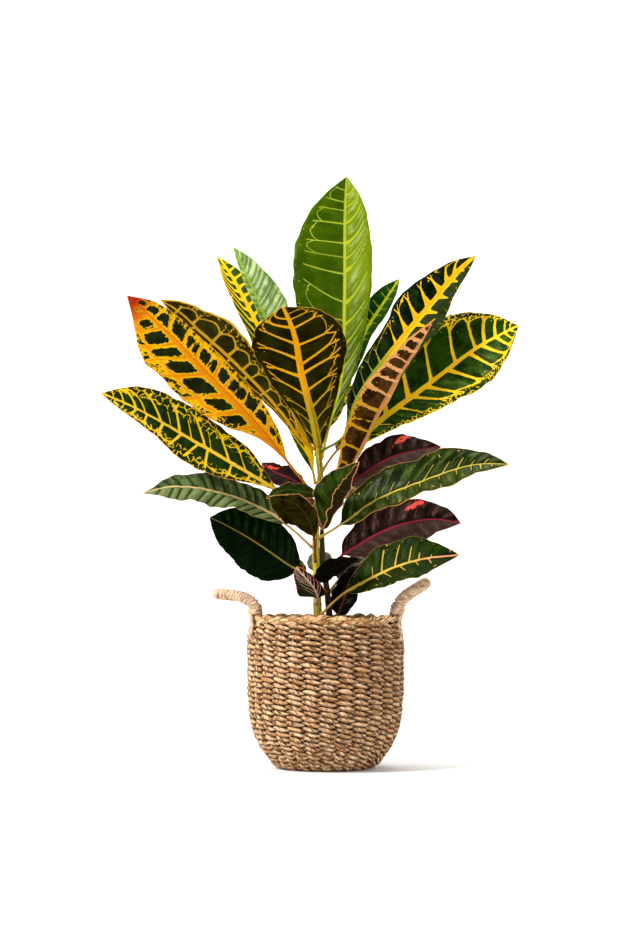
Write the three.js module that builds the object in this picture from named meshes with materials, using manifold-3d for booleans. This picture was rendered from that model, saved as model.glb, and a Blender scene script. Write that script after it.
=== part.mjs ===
// Potted croton in a woven basket, built at real size in millimetres.
// X points right, Y points away from the viewer, Z points up; the origin is the middle of the
// basket's flat underside, which stands on the floor.
import * as THREE from 'three';
import wasmInit from 'manifold-3d';

const wasm = await wasmInit();
wasm.setup();

// ---- basket ----
const GAP = 0.3;                 // clearance kept between pieces that touch
const BASKET_HEIGHT = 174;       // floor to the top of the rope rim
const BASKET_WALL = 5.5;         // thickness of the twined wall
const BASKET_FLOOR = 6;          // thickness of the flat woven floor
const BASKET_SIDES = 40;         // facets round the basket
const ROW_PAIRS = 16;            // raised bands, each one standing for two twined rows
const ROW_RELIEF = 1.5;          // how far a band stands out
const RIM_RADIUS = 5.2;          // half thickness of the rope rim
// height and outside radius of the basket wall
const BASKET_PROFILE = [[0, 48], [3, 56], [9, 62.5], [15, 67.5], [26, 75], [40, 81.5], [56, 85.5],
  [76, 87.8], [110, 88.5], [145, 88.2], [160, 86], [168, 83.5]];

// ---- nursery pot and soil ----
const POT_BASE_RADIUS = 52;      // outside radius at the pot's foot
const POT_RIM_RADIUS = 74;       // outside radius just below its lip
const POT_LIP_RADIUS = 76.2;     // outside radius of the lip
const POT_WALL = 1.8;
const POT_TOP = 167;             // height of the lip
const SOIL_TOP = 160;            // mean height of the soil surface
const STEM_SOCKET = 52;          // depth that a stem reaches down into the soil

// ---- stems: centre line points with radius, bottom to top ----
const STEM_ONE = [[-9, 0, 108, 5.4], [-9, 0, 165, 5.2], [-10, 0, 211, 4.3], [-11, 0, 236, 4.1],
  [-11, 0, 267, 3.9], [-9, 0, 305, 3.8], [-6, 0, 333, 3.6], [-8, 0, 363, 3.2], [-7, 0, 382, 2.2]];
const STEM_TWO = [[5, 13, 108, 4.2], [5, 13, 165, 4.0], [2, 13, 200, 3.6], [-3, 12, 235, 3.3],
  [-4, 12, 262, 2.9], [-4, 12, 276, 1.8]];

// ---- rope handles: centre line in the XZ plane, outwards from the rim to the far end ----
const HANDLE_RADIUS = 6.5;       // half thickness of the wrapped rope
const HANDLE_HALF_SPAN = 27;     // half the distance between the two feet of a loop
const HANDLE_LEFT = [[-80.5, 180.6], [-82.5, 185.5], [-88, 190.5], [-94, 193.6], [-101, 195.4], [-109, 196.2]];
const HANDLE_RIGHT = [[82.5, 180.6], [84, 185.5], [87.5, 190.5], [92, 195], [97, 198.8], [102.5, 202.2]];
const LASHING_HALF = 1.6;        // half thickness of the cord that binds a handle's foot

// ---- leaves ----
const PETIOLE_RADIUS = 1.5;
const BLADE_THICKNESS = 0.8;
const KEEL = 1.5;                // how far the midrib stands out below the blade
const LEAF_STATIONS = 15;        // cross-sections from the stem to the tip
const FOOT_RADIUS = 1.05;        // half thickness of a petiole's foot beside the stem
const RIB_RELIEF = 0.5;          // swell of the blade between its side ribs
// shares of the blade's length at which the half widths below are given
const WIDTH_AT = [0, 0.08, 0.2, 0.35, 0.5, 0.65, 0.8, 0.92, 1];
// Each leaf: the stem it grows from and the height and bearing of its foot, the midrib of its
// blade from base to tip, the half widths on either side of the midrib, the way the upper side
// faces at the base and at the tip, the fold along the midrib in degrees and the edge wave.
const LEAVES = [
  { name: 'top_green', stem: 1, height: 366, azimuth: 60,
    blade: [[2, 8, 386],[16, 14, 439],[21, 24, 539],[23, 40, 618],[26, 62, 693]],
    left: [15,31,47,58.5,61.5,49,25], right: [6,14,25,32,34,28.5,17],
    faceBase: [0.0,-0.99,0.15], faceTip: [0.05,-0.96,0.29], fold: 14, wave: 1.5 },
  { name: 'olive_front', stem: 1, height: 371, azimuth: 262,
    blade: [[-8, -12, 366],[-14, -20, 402],[-25, -38, 448],[-33, -66, 485],[-48, -96, 516]],
    left: [9,22,36,47,54,49,30], right: [9,20,31,43,51,50,34],
    faceBase: [0.0,0.93,0.37], faceTip: [0.0,0.71,0.71], fold: 7, wave: 2.0 },
  { name: 'olive_left', stem: 1, height: 364, azimuth: 185,
    blade: [[-28, -7, 374],[-45, -9, 397],[-109, -18, 465],[-156, -27, 506],[-188, -36, 532]],
    left: [9,18,26,34,37,28,16], right: [7,14,20,23,22,16,8],
    faceBase: [0.5,0.65,0.57], faceTip: [0.5,0.65,0.57], fold: 22, wave: 2.0 },
  { name: 'pale_back_left', stem: 1, height: 357, azimuth: 130,
    blade: [[-17, 20, 399],[-41, 18, 446],[-75, 14, 531],[-94, 12, 573],[-107, 12, 600]],
    left: [5.8,7.3,7.5,7.6,6.2,6.7,4.0], right: [11.3,23.2,30.1,31.5,34.2,25.2,12.8],
    faceBase: [-0.45,-0.89,0.1], faceTip: [-0.3,-0.95,0.1], fold: 18, wave: 1.5 },
  { name: 'small_back_right', stem: 1, height: 354, azimuth: 50,
    blade: [[12, 26, 417],[31, 36, 461],[48, 46, 506],[69, 54, 540],[88, 62, 570]],
    left: [5.9,12.6,14.4,14.9,17.9,17.5,9.9], right: [4,7,9,11,12.5,12,7],
    faceBase: [-0.28,-0.94,0.19], faceTip: [-0.28,-0.92,0.28], fold: 18, wave: 1.2 },
  { name: 'dark_right', stem: 1, height: 362, azimuth: 350,
    blade: [[17, -6, 374],[40, 0, 423],[92, 4, 496],[137, 10, 549],[175, 14, 590]],
    left: [4.7,14.9,21.9,26.5,34.6,28.0,15.6], right: [19.5,28.1,30.4,28.8,29.8,16.4,8.3],
    faceBase: [-0.3,-0.94,0.15], faceTip: [-0.2,-0.93,0.3], fold: 14, wave: 2.0 },
  { name: 'peach_right', stem: 1, height: 312, azimuth: 320,
    blade: [[15, -22, 325],[37, -30, 362],[57, -40, 402],[92, -54, 460],[123, -62, 507]],
    left: [7,11,13,14,12,9,5], right: [15,25,32,34,30,20,9],
    faceBase: [-0.62,0.64,0.46], faceTip: [-0.72,0.5,0.48], fold: 20, wave: 1.5 },
  { name: 'yellow_back_left', stem: 1, height: 324, azimuth: 160,
    blade: [[-14, 5, 336],[-29, 20, 382],[-62, 40, 464],[-100, 52, 542],[-128, 60, 597]],
    left: [7,11,13,11.5,9.5,8.6,6], right: [7,12,16,21,24,22,14],
    faceBase: [0.0,-0.99,0.15], faceTip: [-0.1,-0.97,0.24], fold: 12, wave: 1.2 },
  { name: 'broad_right', stem: 1, height: 319, azimuth: 20,
    blade: [[31, 6, 365],[52, 14, 392],[115, 26, 443],[193, 24, 497],[225, 18, 509]],
    left: [10.3,18.7,33.6,46.9,52.4,43.9,21.9], right: [12,24,34,43,51,50,33],
    faceBase: [0.05,-0.96,0.29], faceTip: [0.05,-0.87,0.49], fold: 12, wave: 2.2 },
  { name: 'gold_left', stem: 1, height: 311, azimuth: 200,
    blade: [[-43, -28, 347],[-63, -44, 373],[-127, -74, 439],[-184, -92, 496],[-220, -102, 527]],
    left: [4.7,14.0,36.5,45.6,48.6,45.3,18.9], right: [10,19,26,26.5,25,22,14],
    faceBase: [0.27,-0.91,0.32], faceTip: [0.31,-0.9,0.31], fold: 9, wave: 2.0 },
  { name: 'net_left', stem: 1, height: 297, azimuth: 190,
    blade: [[-53, -26, 314],[-84, -34, 333],[-150, -46, 373],[-210, -54, 405],[-253, -58, 423]],
    left: [5.3,16.0,30.4,31.5,24.3,15.3,7.9], right: [8.5,21.9,28.9,31.5,33.9,29.6,16.0],
    faceBase: [0.09,-0.92,0.37], faceTip: [0.14,-0.88,0.46], fold: 10, wave: 2.0 },
  { name: 'maroon_back_left', stem: 1, height: 302, azimuth: 140,
    blade: [[-24, 12, 318],[-41, 20, 331],[-59, 28, 339],[-74, 34, 350]],
    left: [8,14,17,17,14,11,5.5], right: [6,10,13,14,14,10.5,5.5],
    faceBase: [0.0,-0.75,0.66], faceTip: [0.0,-0.75,0.66], fold: 12, wave: 2.0 },
  { name: 'maroon_right_upper', stem: 1, height: 302, azimuth: 30,
    blade: [[23, 14, 322],[44, 24, 336],[79, 40, 357],[111, 48, 366],[136, 50, 370]],
    left: [8.1,15.9,23.8,27.7,27.6,20.3,8.9], right: [10,20,28,31,29,22,11],
    faceBase: [-0.15,-0.85,0.5], faceTip: [0.0,-0.8,0.6], fold: 12, wave: 2.5 },
  { name: 'green_band_left', stem: 1, height: 288, azimuth: 215,
    blade: [[-11, -12, 310],[-27, -24, 314],[-46, -38, 315],[-67, -50, 305]],
    left: [6,9,10,9.5,8.5,7,4.5], right: [7,10,11,9.5,7.5,6,3],
    faceBase: [0.09,-0.83,0.55], faceTip: [0.09,-0.83,0.55], fold: 10, wave: 2.0 },
  { name: 'fold_right', stem: 1, height: 280, azimuth: 300,
    blade: [[-3, -20, 272],[4, -32, 294],[17, -48, 322],[37, -66, 345]],
    left: [5,14,24,25,18,10.5,5], right: [5,8,12,15,15.5,11,5.5],
    faceBase: [-0.15,-0.93,0.33], faceTip: [-0.25,-0.89,0.38], fold: 10, wave: 2.5 },
  { name: 'front_left', stem: 1, height: 234, azimuth: 265,
    blade: [[-13, -16, 262],[-19, -34, 281],[-33, -54, 298],[-63, -72, 306]],
    left: [5,9,13,14,12,8,4], right: [9,18,26,29,27,21,12],
    faceBase: [0.1,0.86,0.5], faceTip: [0.1,0.86,0.5], fold: 8, wave: 2.5 },
  { name: 'green_right', stem: 1, height: 262, azimuth: 330,
    blade: [[15, -15, 275],[51, -28, 303],[108, -46, 327],[162, -60, 342],[204, -70, 342]],
    left: [17,26,30,31,31,24,13], right: [11,17,22,23,24,19,9],
    faceBase: [-0.15,-0.85,0.5], faceTip: [0.0,-0.73,0.68], fold: 9, wave: 3.0 },
  { name: 'wavy_left', stem: 1, height: 251, azimuth: 205,
    blade: [[-44, -18, 276],[-77, -24, 297],[-123, -32, 315],[-165, -40, 320],[-206, -46, 311]],
    left: [8,14,20,25,27,22,9], right: [14,20,24,24,21,14,5.5],
    faceBase: [0.1,-0.8,0.6], faceTip: [0.1,-0.73,0.68], fold: 9, wave: 3.4 },
  { name: 'maroon_right_lower', stem: 2, height: 218, azimuth: 10,
    blade: [[18, 4, 241],[36, 12, 253],[86, 22, 277],[128, 18, 284],[156, 10, 279]],
    left: [12.5,21.6,30.9,31.1,27.8,20.4,11.0], right: [12,24,32,34,31,24,12],
    faceBase: [-0.1,-0.91,0.4], faceTip: [0.0,-0.86,0.51], fold: 12, wave: 2.5 },
  { name: 'small_dark_front', stem: 1, height: 222, azimuth: 290,
    blade: [[-14, -19, 215],[-1, -35, 222],[16, -51, 229],[37, -64, 237]],
    left: [7,12,15,14,11.5,7.5,4], right: [5.5,11,15,14.5,10,6,3],
    faceBase: [-0.1,-0.86,0.5], faceTip: [-0.1,-0.86,0.5], fold: 8, wave: 1.5 },
  { name: 'dark_left', stem: 1, height: 210, azimuth: 180,
    blade: [[-29, -4, 223],[-46, -4, 236],[-77, -6, 257],[-107, -4, 273],[-133, -2, 285]],
    left: [19,33,39,38,32.5,25,13], right: [12,24,32,34.5,33,25,14],
    faceBase: [0.05,-0.96,0.29], faceTip: [0.05,-0.94,0.33], fold: 8, wave: 2.0 },
  { name: 'cup_front', stem: 1, height: 188, azimuth: 255,
    blade: [[-9, -18, 193],[-13, -34, 204],[-22, -50, 215],[-33, -64, 228]],
    left: [9.8,10.4,9.0,8.1,7.5,6.0,4.1], right: [17.1,21.6,20.7,18.0,14.4,11.0,6.2],
    faceBase: [0.0,0.8,0.6], faceTip: [0.0,0.8,0.6], fold: 10, wave: 1.5 },
  { name: 'green_right_lower', stem: 1, height: 175, azimuth: 325,
    blade: [[22, -24, 199],[42, -36, 211],[79, -54, 229],[115, -66, 239],[148, -74, 241]],
    left: [11,22,30,32,30,20,9], right: [8,15,19,23,24,20.5,9.5],
    faceBase: [-0.1,-0.89,0.45], faceTip: [0.0,-0.8,0.6], fold: 9, wave: 2.4 },
  { name: 'dark_rim_right', stem: 2, height: 163, azimuth: 40,
    blade: [[14, 15, 172],[20, 15, 188],[28, 15, 208],[38, 13, 230]],
    left: [9,14,16.5,16,14.5,11.5,7.5], right: [9,13,15.5,15.5,13,10,6],
    faceBase: [-0.3,-0.9,0.3], faceTip: [-0.3,-0.9,0.3], fold: 10, wave: 1.5 },
  { name: 'grey_back', stem: 2, height: 223, azimuth: 92,
    blade: [[-7, 22, 224],[-7, 34, 231],[-6, 48, 239],[-6, 62, 248]],
    left: [9,13,14.5,14.5,13.5,11.5,7.5], right: [9,13,16,16,14.5,12,7.5],
    faceBase: [0.0,-0.62,0.78], faceTip: [0.0,-0.62,0.78], fold: 8, wave: 1.5 },
  { name: 'back_top', stem: 1, height: 374, azimuth: 95,
    blade: [[-2, 20, 387],[2, 46, 414],[7, 80, 444],[12, 112, 465],[15, 145, 480]],
    left: [11.0,19.3,24.8,25.9,22.9,16.4,8.5], right: [11.0,19.3,24.8,25.9,22.9,16.4,8.5],
    faceBase: [0.0,-0.41,0.91], faceTip: [0.0,-0.29,0.96], fold: 12, wave: 2.2 },
  { name: 'back_left_upper', stem: 1, height: 349, azimuth: 112,
    blade: [[-13, 27, 371],[-26, 54, 400],[-46, 84, 426],[-62, 114, 446],[-78, 144, 456]],
    left: [11.4,20.1,25.8,26.9,23.8,17.0,8.8], right: [11.4,20.1,25.8,26.9,23.8,17.0,8.8],
    faceBase: [0.28,-0.19,0.94], faceTip: [0.2,-0.1,0.98], fold: 12, wave: 2.2 },
  { name: 'back_right_upper', stem: 1, height: 340, azimuth: 45,
    blade: [[12, 22, 362],[38, 44, 386],[67, 70, 408],[95, 96, 425],[123, 124, 432]],
    left: [11.4,20.1,25.8,26.9,23.8,17.0,8.8], right: [11.4,20.1,25.8,26.9,23.8,17.0,8.8],
    faceBase: [-0.28,-0.19,0.94], faceTip: [-0.2,-0.1,0.98], fold: 12, wave: 2.2 },
  { name: 'back_left_middle', stem: 1, height: 291, azimuth: 150,
    blade: [[-26, 20, 307],[-48, 44, 325],[-75, 72, 343],[-102, 98, 355],[-131, 124, 359]],
    left: [11.0,19.3,24.8,25.9,22.9,16.4,8.5], right: [11.0,19.3,24.8,25.9,22.9,16.4,8.5],
    faceBase: [0.2,-0.1,0.98], faceTip: [0.1,0.0,1.0], fold: 12, wave: 2.2 },
  { name: 'back_right_middle', stem: 1, height: 288, azimuth: 40,
    blade: [[11, 22, 302],[35, 46, 318],[63, 74, 333],[93, 104, 344],[123, 132, 348]],
    left: [11.0,19.3,24.8,25.9,22.9,16.4,8.5], right: [11.0,19.3,24.8,25.9,22.9,16.4,8.5],
    faceBase: [-0.2,-0.1,0.98], faceTip: [-0.1,0.0,1.0], fold: 12, wave: 2.2 },
  { name: 'back_centre', stem: 1, height: 279, azimuth: 88,
    blade: [[-7, 20, 288],[-6, 50, 297],[-4, 82, 304],[-3, 114, 308],[-3, 148, 307]],
    left: [11.4,20.1,25.8,26.9,23.8,17.0,8.8], right: [11.4,20.1,25.8,26.9,23.8,17.0,8.8],
    faceBase: [0.0,-0.2,0.98], faceTip: [0.0,0.0,1.0], fold: 12, wave: 2.2 },
  { name: 'back_left_low', stem: 1, height: 202, azimuth: 150,
    blade: [[-24, 16, 214],[-41, 38, 233],[-65, 60, 249],[-89, 82, 260],[-114, 104, 264]],
    left: [10.2,17.8,22.9,23.9,21.2,15.1,7.8], right: [10.2,17.8,22.9,23.9,21.2,15.1,7.8],
    faceBase: [0.2,-0.1,0.98], faceTip: [0.1,0.0,1.0], fold: 12, wave: 2.2 },
  { name: 'back_right_low', stem: 2, height: 200, azimuth: 52,
    blade: [[14, 25, 212],[37, 52, 231],[63, 78, 247],[90, 102, 255],[119, 124, 258]],
    left: [10.2,17.8,22.9,23.9,21.2,15.1,7.8], right: [10.2,17.8,22.9,23.9,21.2,15.1,7.8],
    faceBase: [-0.2,-0.1,0.98], faceTip: [-0.1,0.0,1.0], fold: 12, wave: 2.2 },];

// ---- small helpers ----
function material(hex, roughness, metalness = 0) {
  return new THREE.MeshStandardMaterial({ color: new THREE.Color(hex), roughness, metalness });
}

function meshFrom(name, positions, indices, mat) {
  const geometry = new THREE.BufferGeometry();
  geometry.setAttribute('position', new THREE.Float32BufferAttribute(positions, 3));
  geometry.setIndex(indices);
  geometry.computeVertexNormals();
  const mesh = new THREE.Mesh(geometry, mat);
  mesh.name = name;
  return mesh;
}

function linear(xs, ys, x) {
  if (x <= xs[0]) return ys[0];
  for (let i = 1; i < xs.length; i += 1) {
    if (x <= xs[i]) return ys[i - 1] + ((ys[i] - ys[i - 1]) * (x - xs[i - 1])) / (xs[i] - xs[i - 1]);
  }
  return ys[ys.length - 1];
}

// Smooth curve through knots ks with values vs (numbers), by cubic pieces.
function smooth(ks, vs, x) {
  const n = ks.length;
  const slope = (i) => {
    if (i === 0) return (vs[1] - vs[0]) / (ks[1] - ks[0]);
    if (i === n - 1) return (vs[n - 1] - vs[n - 2]) / (ks[n - 1] - ks[n - 2]);
    const a = (vs[i] - vs[i - 1]) / (ks[i] - ks[i - 1]);
    const b = (vs[i + 1] - vs[i]) / (ks[i + 1] - ks[i]);
    return (a * (ks[i + 1] - ks[i]) + b * (ks[i] - ks[i - 1])) / (ks[i + 1] - ks[i - 1]);
  };
  let i = 0;
  while (i < n - 2 && x > ks[i + 1]) i += 1;
  const h = ks[i + 1] - ks[i];
  const s = Math.min(Math.max((x - ks[i]) / h, 0), 1);
  const s2 = s * s;
  const s3 = s2 * s;
  return (2 * s3 - 3 * s2 + 1) * vs[i] + (s3 - 2 * s2 + s) * h * slope(i)
    + (-2 * s3 + 3 * s2) * vs[i + 1] + (s3 - s2) * h * slope(i + 1);
}

function chordKnots(points) {
  const ks = [0];
  for (let i = 1; i < points.length; i += 1) {
    ks.push(ks[i - 1] + Math.hypot(...[0, 1, 2].map((c) => points[i][c] - points[i - 1][c])));
  }
  return ks.map((k) => k / ks[ks.length - 1]);
}

function along(points, ks, u) {
  return new THREE.Vector3(...[0, 1, 2].map((c) => smooth(ks, points.map((p) => p[c]), u)));
}

function tangent(points, ks, u) {
  const a = along(points, ks, Math.max(u - 0.004, 0));
  const b = along(points, ks, Math.min(u + 0.004, 1));
  return b.sub(a).normalize();
}

// Closed body through a row of rings with the same number of points each.
function loft(name, rings, mat) {
  const count = rings[0].length;
  const positions = [];
  const indices = [];
  rings.forEach((ring) => ring.forEach((p) => positions.push(p.x, p.y, p.z)));
  for (let r = 0; r < rings.length - 1; r += 1) {
    for (let k = 0; k < count; k += 1) {
      const a = r * count + k;
      const b = r * count + ((k + 1) % count);
      const c = a + count;
      const d = b + count;
      // the same diagonal is used above and below, so both faces of a blade split alike
      if (k < count / 2) indices.push(a, b, c, b, d, c);
      else indices.push(a, b, d, a, d, c);
    }
  }
  [0, rings.length - 1].forEach((r) => {
    const centre = new THREE.Vector3();
    rings[r].forEach((p) => centre.add(p));
    centre.divideScalar(count);
    const at = positions.length / 3;
    positions.push(centre.x, centre.y, centre.z);
    for (let k = 0; k < count; k += 1) {
      const a = r * count + k;
      const b = r * count + ((k + 1) % count);
      if (r === 0) indices.push(at, b, a);
      else indices.push(at, a, b);
    }
  });
  return meshFrom(name, positions, indices, mat);
}

function tube(name, points, radiusAt, steps, sides, mat, sideways = new THREE.Vector3(1, 0, 0)) {
  const ks = chordKnots(points);
  const rings = [];
  for (let i = 0; i <= steps; i += 1) {
    const u = i / steps;
    const t = tangent(points, ks, u);
    const a = sideways.clone().addScaledVector(t, -sideways.dot(t)).normalize();
    const b = new THREE.Vector3().crossVectors(t, a);
    const centre = along(points, ks, u);
    const r = radiusAt(u);
    const ring = [];
    for (let k = 0; k < sides; k += 1) {
      const w = (2 * Math.PI * k) / sides;
      ring.push(centre.clone().addScaledVector(a, r * Math.cos(w)).addScaledVector(b, r * Math.sin(w)));
    }
    rings.push(ring);
  }
  return loft(name, rings, mat);
}

function toManifold(mesh) {
  const p = mesh.geometry.getAttribute('position');
  return new wasm.Manifold(new wasm.Mesh({ numProp: 3, vertProperties: new Float32Array(p.array),
    triVerts: new Uint32Array(mesh.geometry.index.array) }));
}

function fromManifold(name, body, mat) {
  const out = body.getMesh();
  return meshFrom(name, Array.from(out.vertProperties), Array.from(out.triVerts), mat);
}

function joined(name, meshes, mat) {
  let body = toManifold(meshes[0]);
  meshes.slice(1).forEach((m) => { body = body.add(toManifold(m)); });
  return fromManifold(name, body, mat);
}

// ---- the pieces ----
function basketRadius(z) {
  return smooth(BASKET_PROFILE.map((p) => p[0]), BASKET_PROFILE.map((p) => p[1]), z);
}

function basket() {
  const outside = [new THREE.Vector2(0, 0), new THREE.Vector2(BASKET_PROFILE[0][1], 0)];
  const wallTop = BASKET_HEIGHT - 2 * RIM_RADIUS;
  for (let i = 1; i <= 2 * ROW_PAIRS; i += 1) {
    const z = (wallTop * i) / (2 * ROW_PAIRS);
    const out = i % 2 === 1 ? ROW_RELIEF : -ROW_RELIEF / 2;
    outside.push(new THREE.Vector2(basketRadius(z) + (z < 8 ? 0 : out), z));
  }
  const rimMiddle = basketRadius(wallTop) - RIM_RADIUS + 1.2;
  const rim = [];
  for (let k = 0; k <= 5; k += 1) {
    const w = -0.2 * Math.PI + (k / 5) * 1.4 * Math.PI;
    rim.push(new THREE.Vector2(rimMiddle + RIM_RADIUS * Math.cos(w),
      BASKET_HEIGHT - RIM_RADIUS + RIM_RADIUS * Math.sin(w)));
  }
  const inside = [];
  [158, 130, 90, 56, 30, 14].forEach((z) => {
    inside.push(new THREE.Vector2(basketRadius(z) - BASKET_WALL, z));
  });
  inside.push(new THREE.Vector2(basketRadius(14) - BASKET_WALL - 8, BASKET_FLOOR));
  inside.push(new THREE.Vector2(0, BASKET_FLOOR));
  const geometry = new THREE.LatheGeometry([...outside, ...rim, ...inside], BASKET_SIDES);
  geometry.rotateX(Math.PI / 2);
  const mesh = new THREE.Mesh(geometry, material('#b8935c', 0.9));
  mesh.name = 'basket';
  return mesh;
}

function nurseryPot() {
  const z0 = BASKET_FLOOR + GAP;
  const points = [[0, z0], [POT_BASE_RADIUS, z0], [POT_BASE_RADIUS + 1.2, z0 + 1.5],
    [POT_RIM_RADIUS, POT_TOP - 9], [POT_LIP_RADIUS, POT_TOP - 8.2], [POT_LIP_RADIUS, POT_TOP - 0.6],
    [POT_LIP_RADIUS - 0.6, POT_TOP], [POT_RIM_RADIUS - POT_WALL + 0.6, POT_TOP],
    [POT_RIM_RADIUS - POT_WALL, POT_TOP - 9],
    [POT_BASE_RADIUS - POT_WALL + 1.2, z0 + 3], [POT_BASE_RADIUS - POT_WALL - 1, z0 + POT_WALL],
    [0, z0 + POT_WALL]];
  const geometry = new THREE.LatheGeometry(points.map((p) => new THREE.Vector2(p[0], p[1])), 32);
  geometry.rotateX(Math.PI / 2);
  const mesh = new THREE.Mesh(geometry, material('#3a2c24', 0.6));
  mesh.name = 'nursery_pot';
  return mesh;
}

function soil() {
  const z0 = BASKET_FLOOR + GAP + POT_WALL + GAP;
  const taper = (POT_RIM_RADIUS - POT_BASE_RADIUS) / (POT_TOP - 9 - BASKET_FLOOR - GAP);
  const inner = (z) => POT_BASE_RADIUS - POT_WALL - GAP - 0.6 + taper * (z - z0);
  const points = [[0, z0], [inner(z0) - 2, z0], [inner(z0 + 4), z0 + 4], [inner(100), 100],
    [inner(150), 150], [inner(SOIL_TOP - 5), SOIL_TOP - 4], [60, SOIL_TOP - 1.5],
    [44, SOIL_TOP + 1], [26, SOIL_TOP + 0.5], [0, SOIL_TOP + 1.5]];
  const geometry = new THREE.LatheGeometry(points.map((p) => new THREE.Vector2(p[0], p[1])), 30);
  geometry.rotateX(Math.PI / 2);
  geometry.deleteAttribute('normal');
  geometry.deleteAttribute('uv');
  let body = new wasm.Mesh({ numProp: 3,
    vertProperties: new Float32Array(geometry.getAttribute('position').array),
    triVerts: new Uint32Array(geometry.index.array) });
  body.merge();
  body = new wasm.Manifold(body);
  [STEM_ONE, STEM_TWO].forEach((stem) => {
    const [x, y, z, r] = stem[0];
    const hole = wasm.Manifold.cylinder(SOIL_TOP + 20 - z + GAP, r + 2 * GAP, r + 2 * GAP, 20)
      .translate([x, y, z - GAP]);
    body = body.subtract(hole);
  });
  return fromManifold('soil', body, material('#3b2a1e', 0.95));
}

function stem(name, line, mat) {
  const ks = chordKnots(line);
  return tube(name, line, (u) => Math.max(smooth(ks, line.map((p) => p[3]), u), 0.8), 14, 10, mat);
}

function handle(name, line, mat) {
  const [, footZ] = line[0];
  const [endX, endZ] = line[line.length - 1];
  const side = Math.sign(endX);
  const front = line.map((p, i) => {
    const t = i / (line.length - 1);
    return [p[0], -HANDLE_HALF_SPAN - 3 * Math.sin(Math.PI * t), p[1]];
  });
  const back = front.map((p) => [p[0], -p[1], p[2]]).reverse();
  const [ax, , az] = front[front.length - 1];
  const dx = ax - front[front.length - 2][0];
  const dz = az - front[front.length - 2][2];
  const k = 13 / Math.hypot(dx, dz);
  const bow = [[ax + dx * k * 0.72, -HANDLE_HALF_SPAN + 6, az + dz * k * 0.72],
    [ax + dx * k * 1.02, -HANDLE_HALF_SPAN + 17, az + dz * k * 1.02],
    [ax + dx * k * 1.08, 0, az + dz * k * 1.08],
    [ax + dx * k * 1.02, HANDLE_HALF_SPAN - 17, az + dz * k * 1.02],
    [ax + dx * k * 0.72, HANDLE_HALF_SPAN - 6, az + dz * k * 0.72]];
  const rope = tube('rope', [...front, ...bow, ...back], () => HANDLE_RADIUS, 40, 10, mat,
    new THREE.Vector3(side * 0.35, 0.02, 1));
  const parts = [rope];
  [-1, 1].forEach((s) => {
    // the cord leaves the rope's foot, passes over the rim and runs down the outside
    const y = s * HANDLE_HALF_SPAN;
    const at = (z, out) => {
      const r = basketRadius(z) + ROW_RELIEF + LASHING_HALF + GAP + out;
      return [side * Math.sqrt(Math.max(r * r - y * y, 1)), y, z];
    };
    const cord = [[line[0][0] * 0.985, y, footZ + 3.5], [...at(170, 1.9)], at(162, 1.2), at(154, 0.6), at(147, 0.4)];
    cord[0][2] = footZ + 3.5;
    cord.splice(1, 0, [side * (Math.abs(at(170, 2.2)[0]) - 0.4), y, 178.5]);
    parts.push(tube('cord', cord, () => LASHING_HALF, 9, 6, mat, new THREE.Vector3(0, 1, 0)));
  });
  return joined(name, parts, mat);
}

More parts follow.
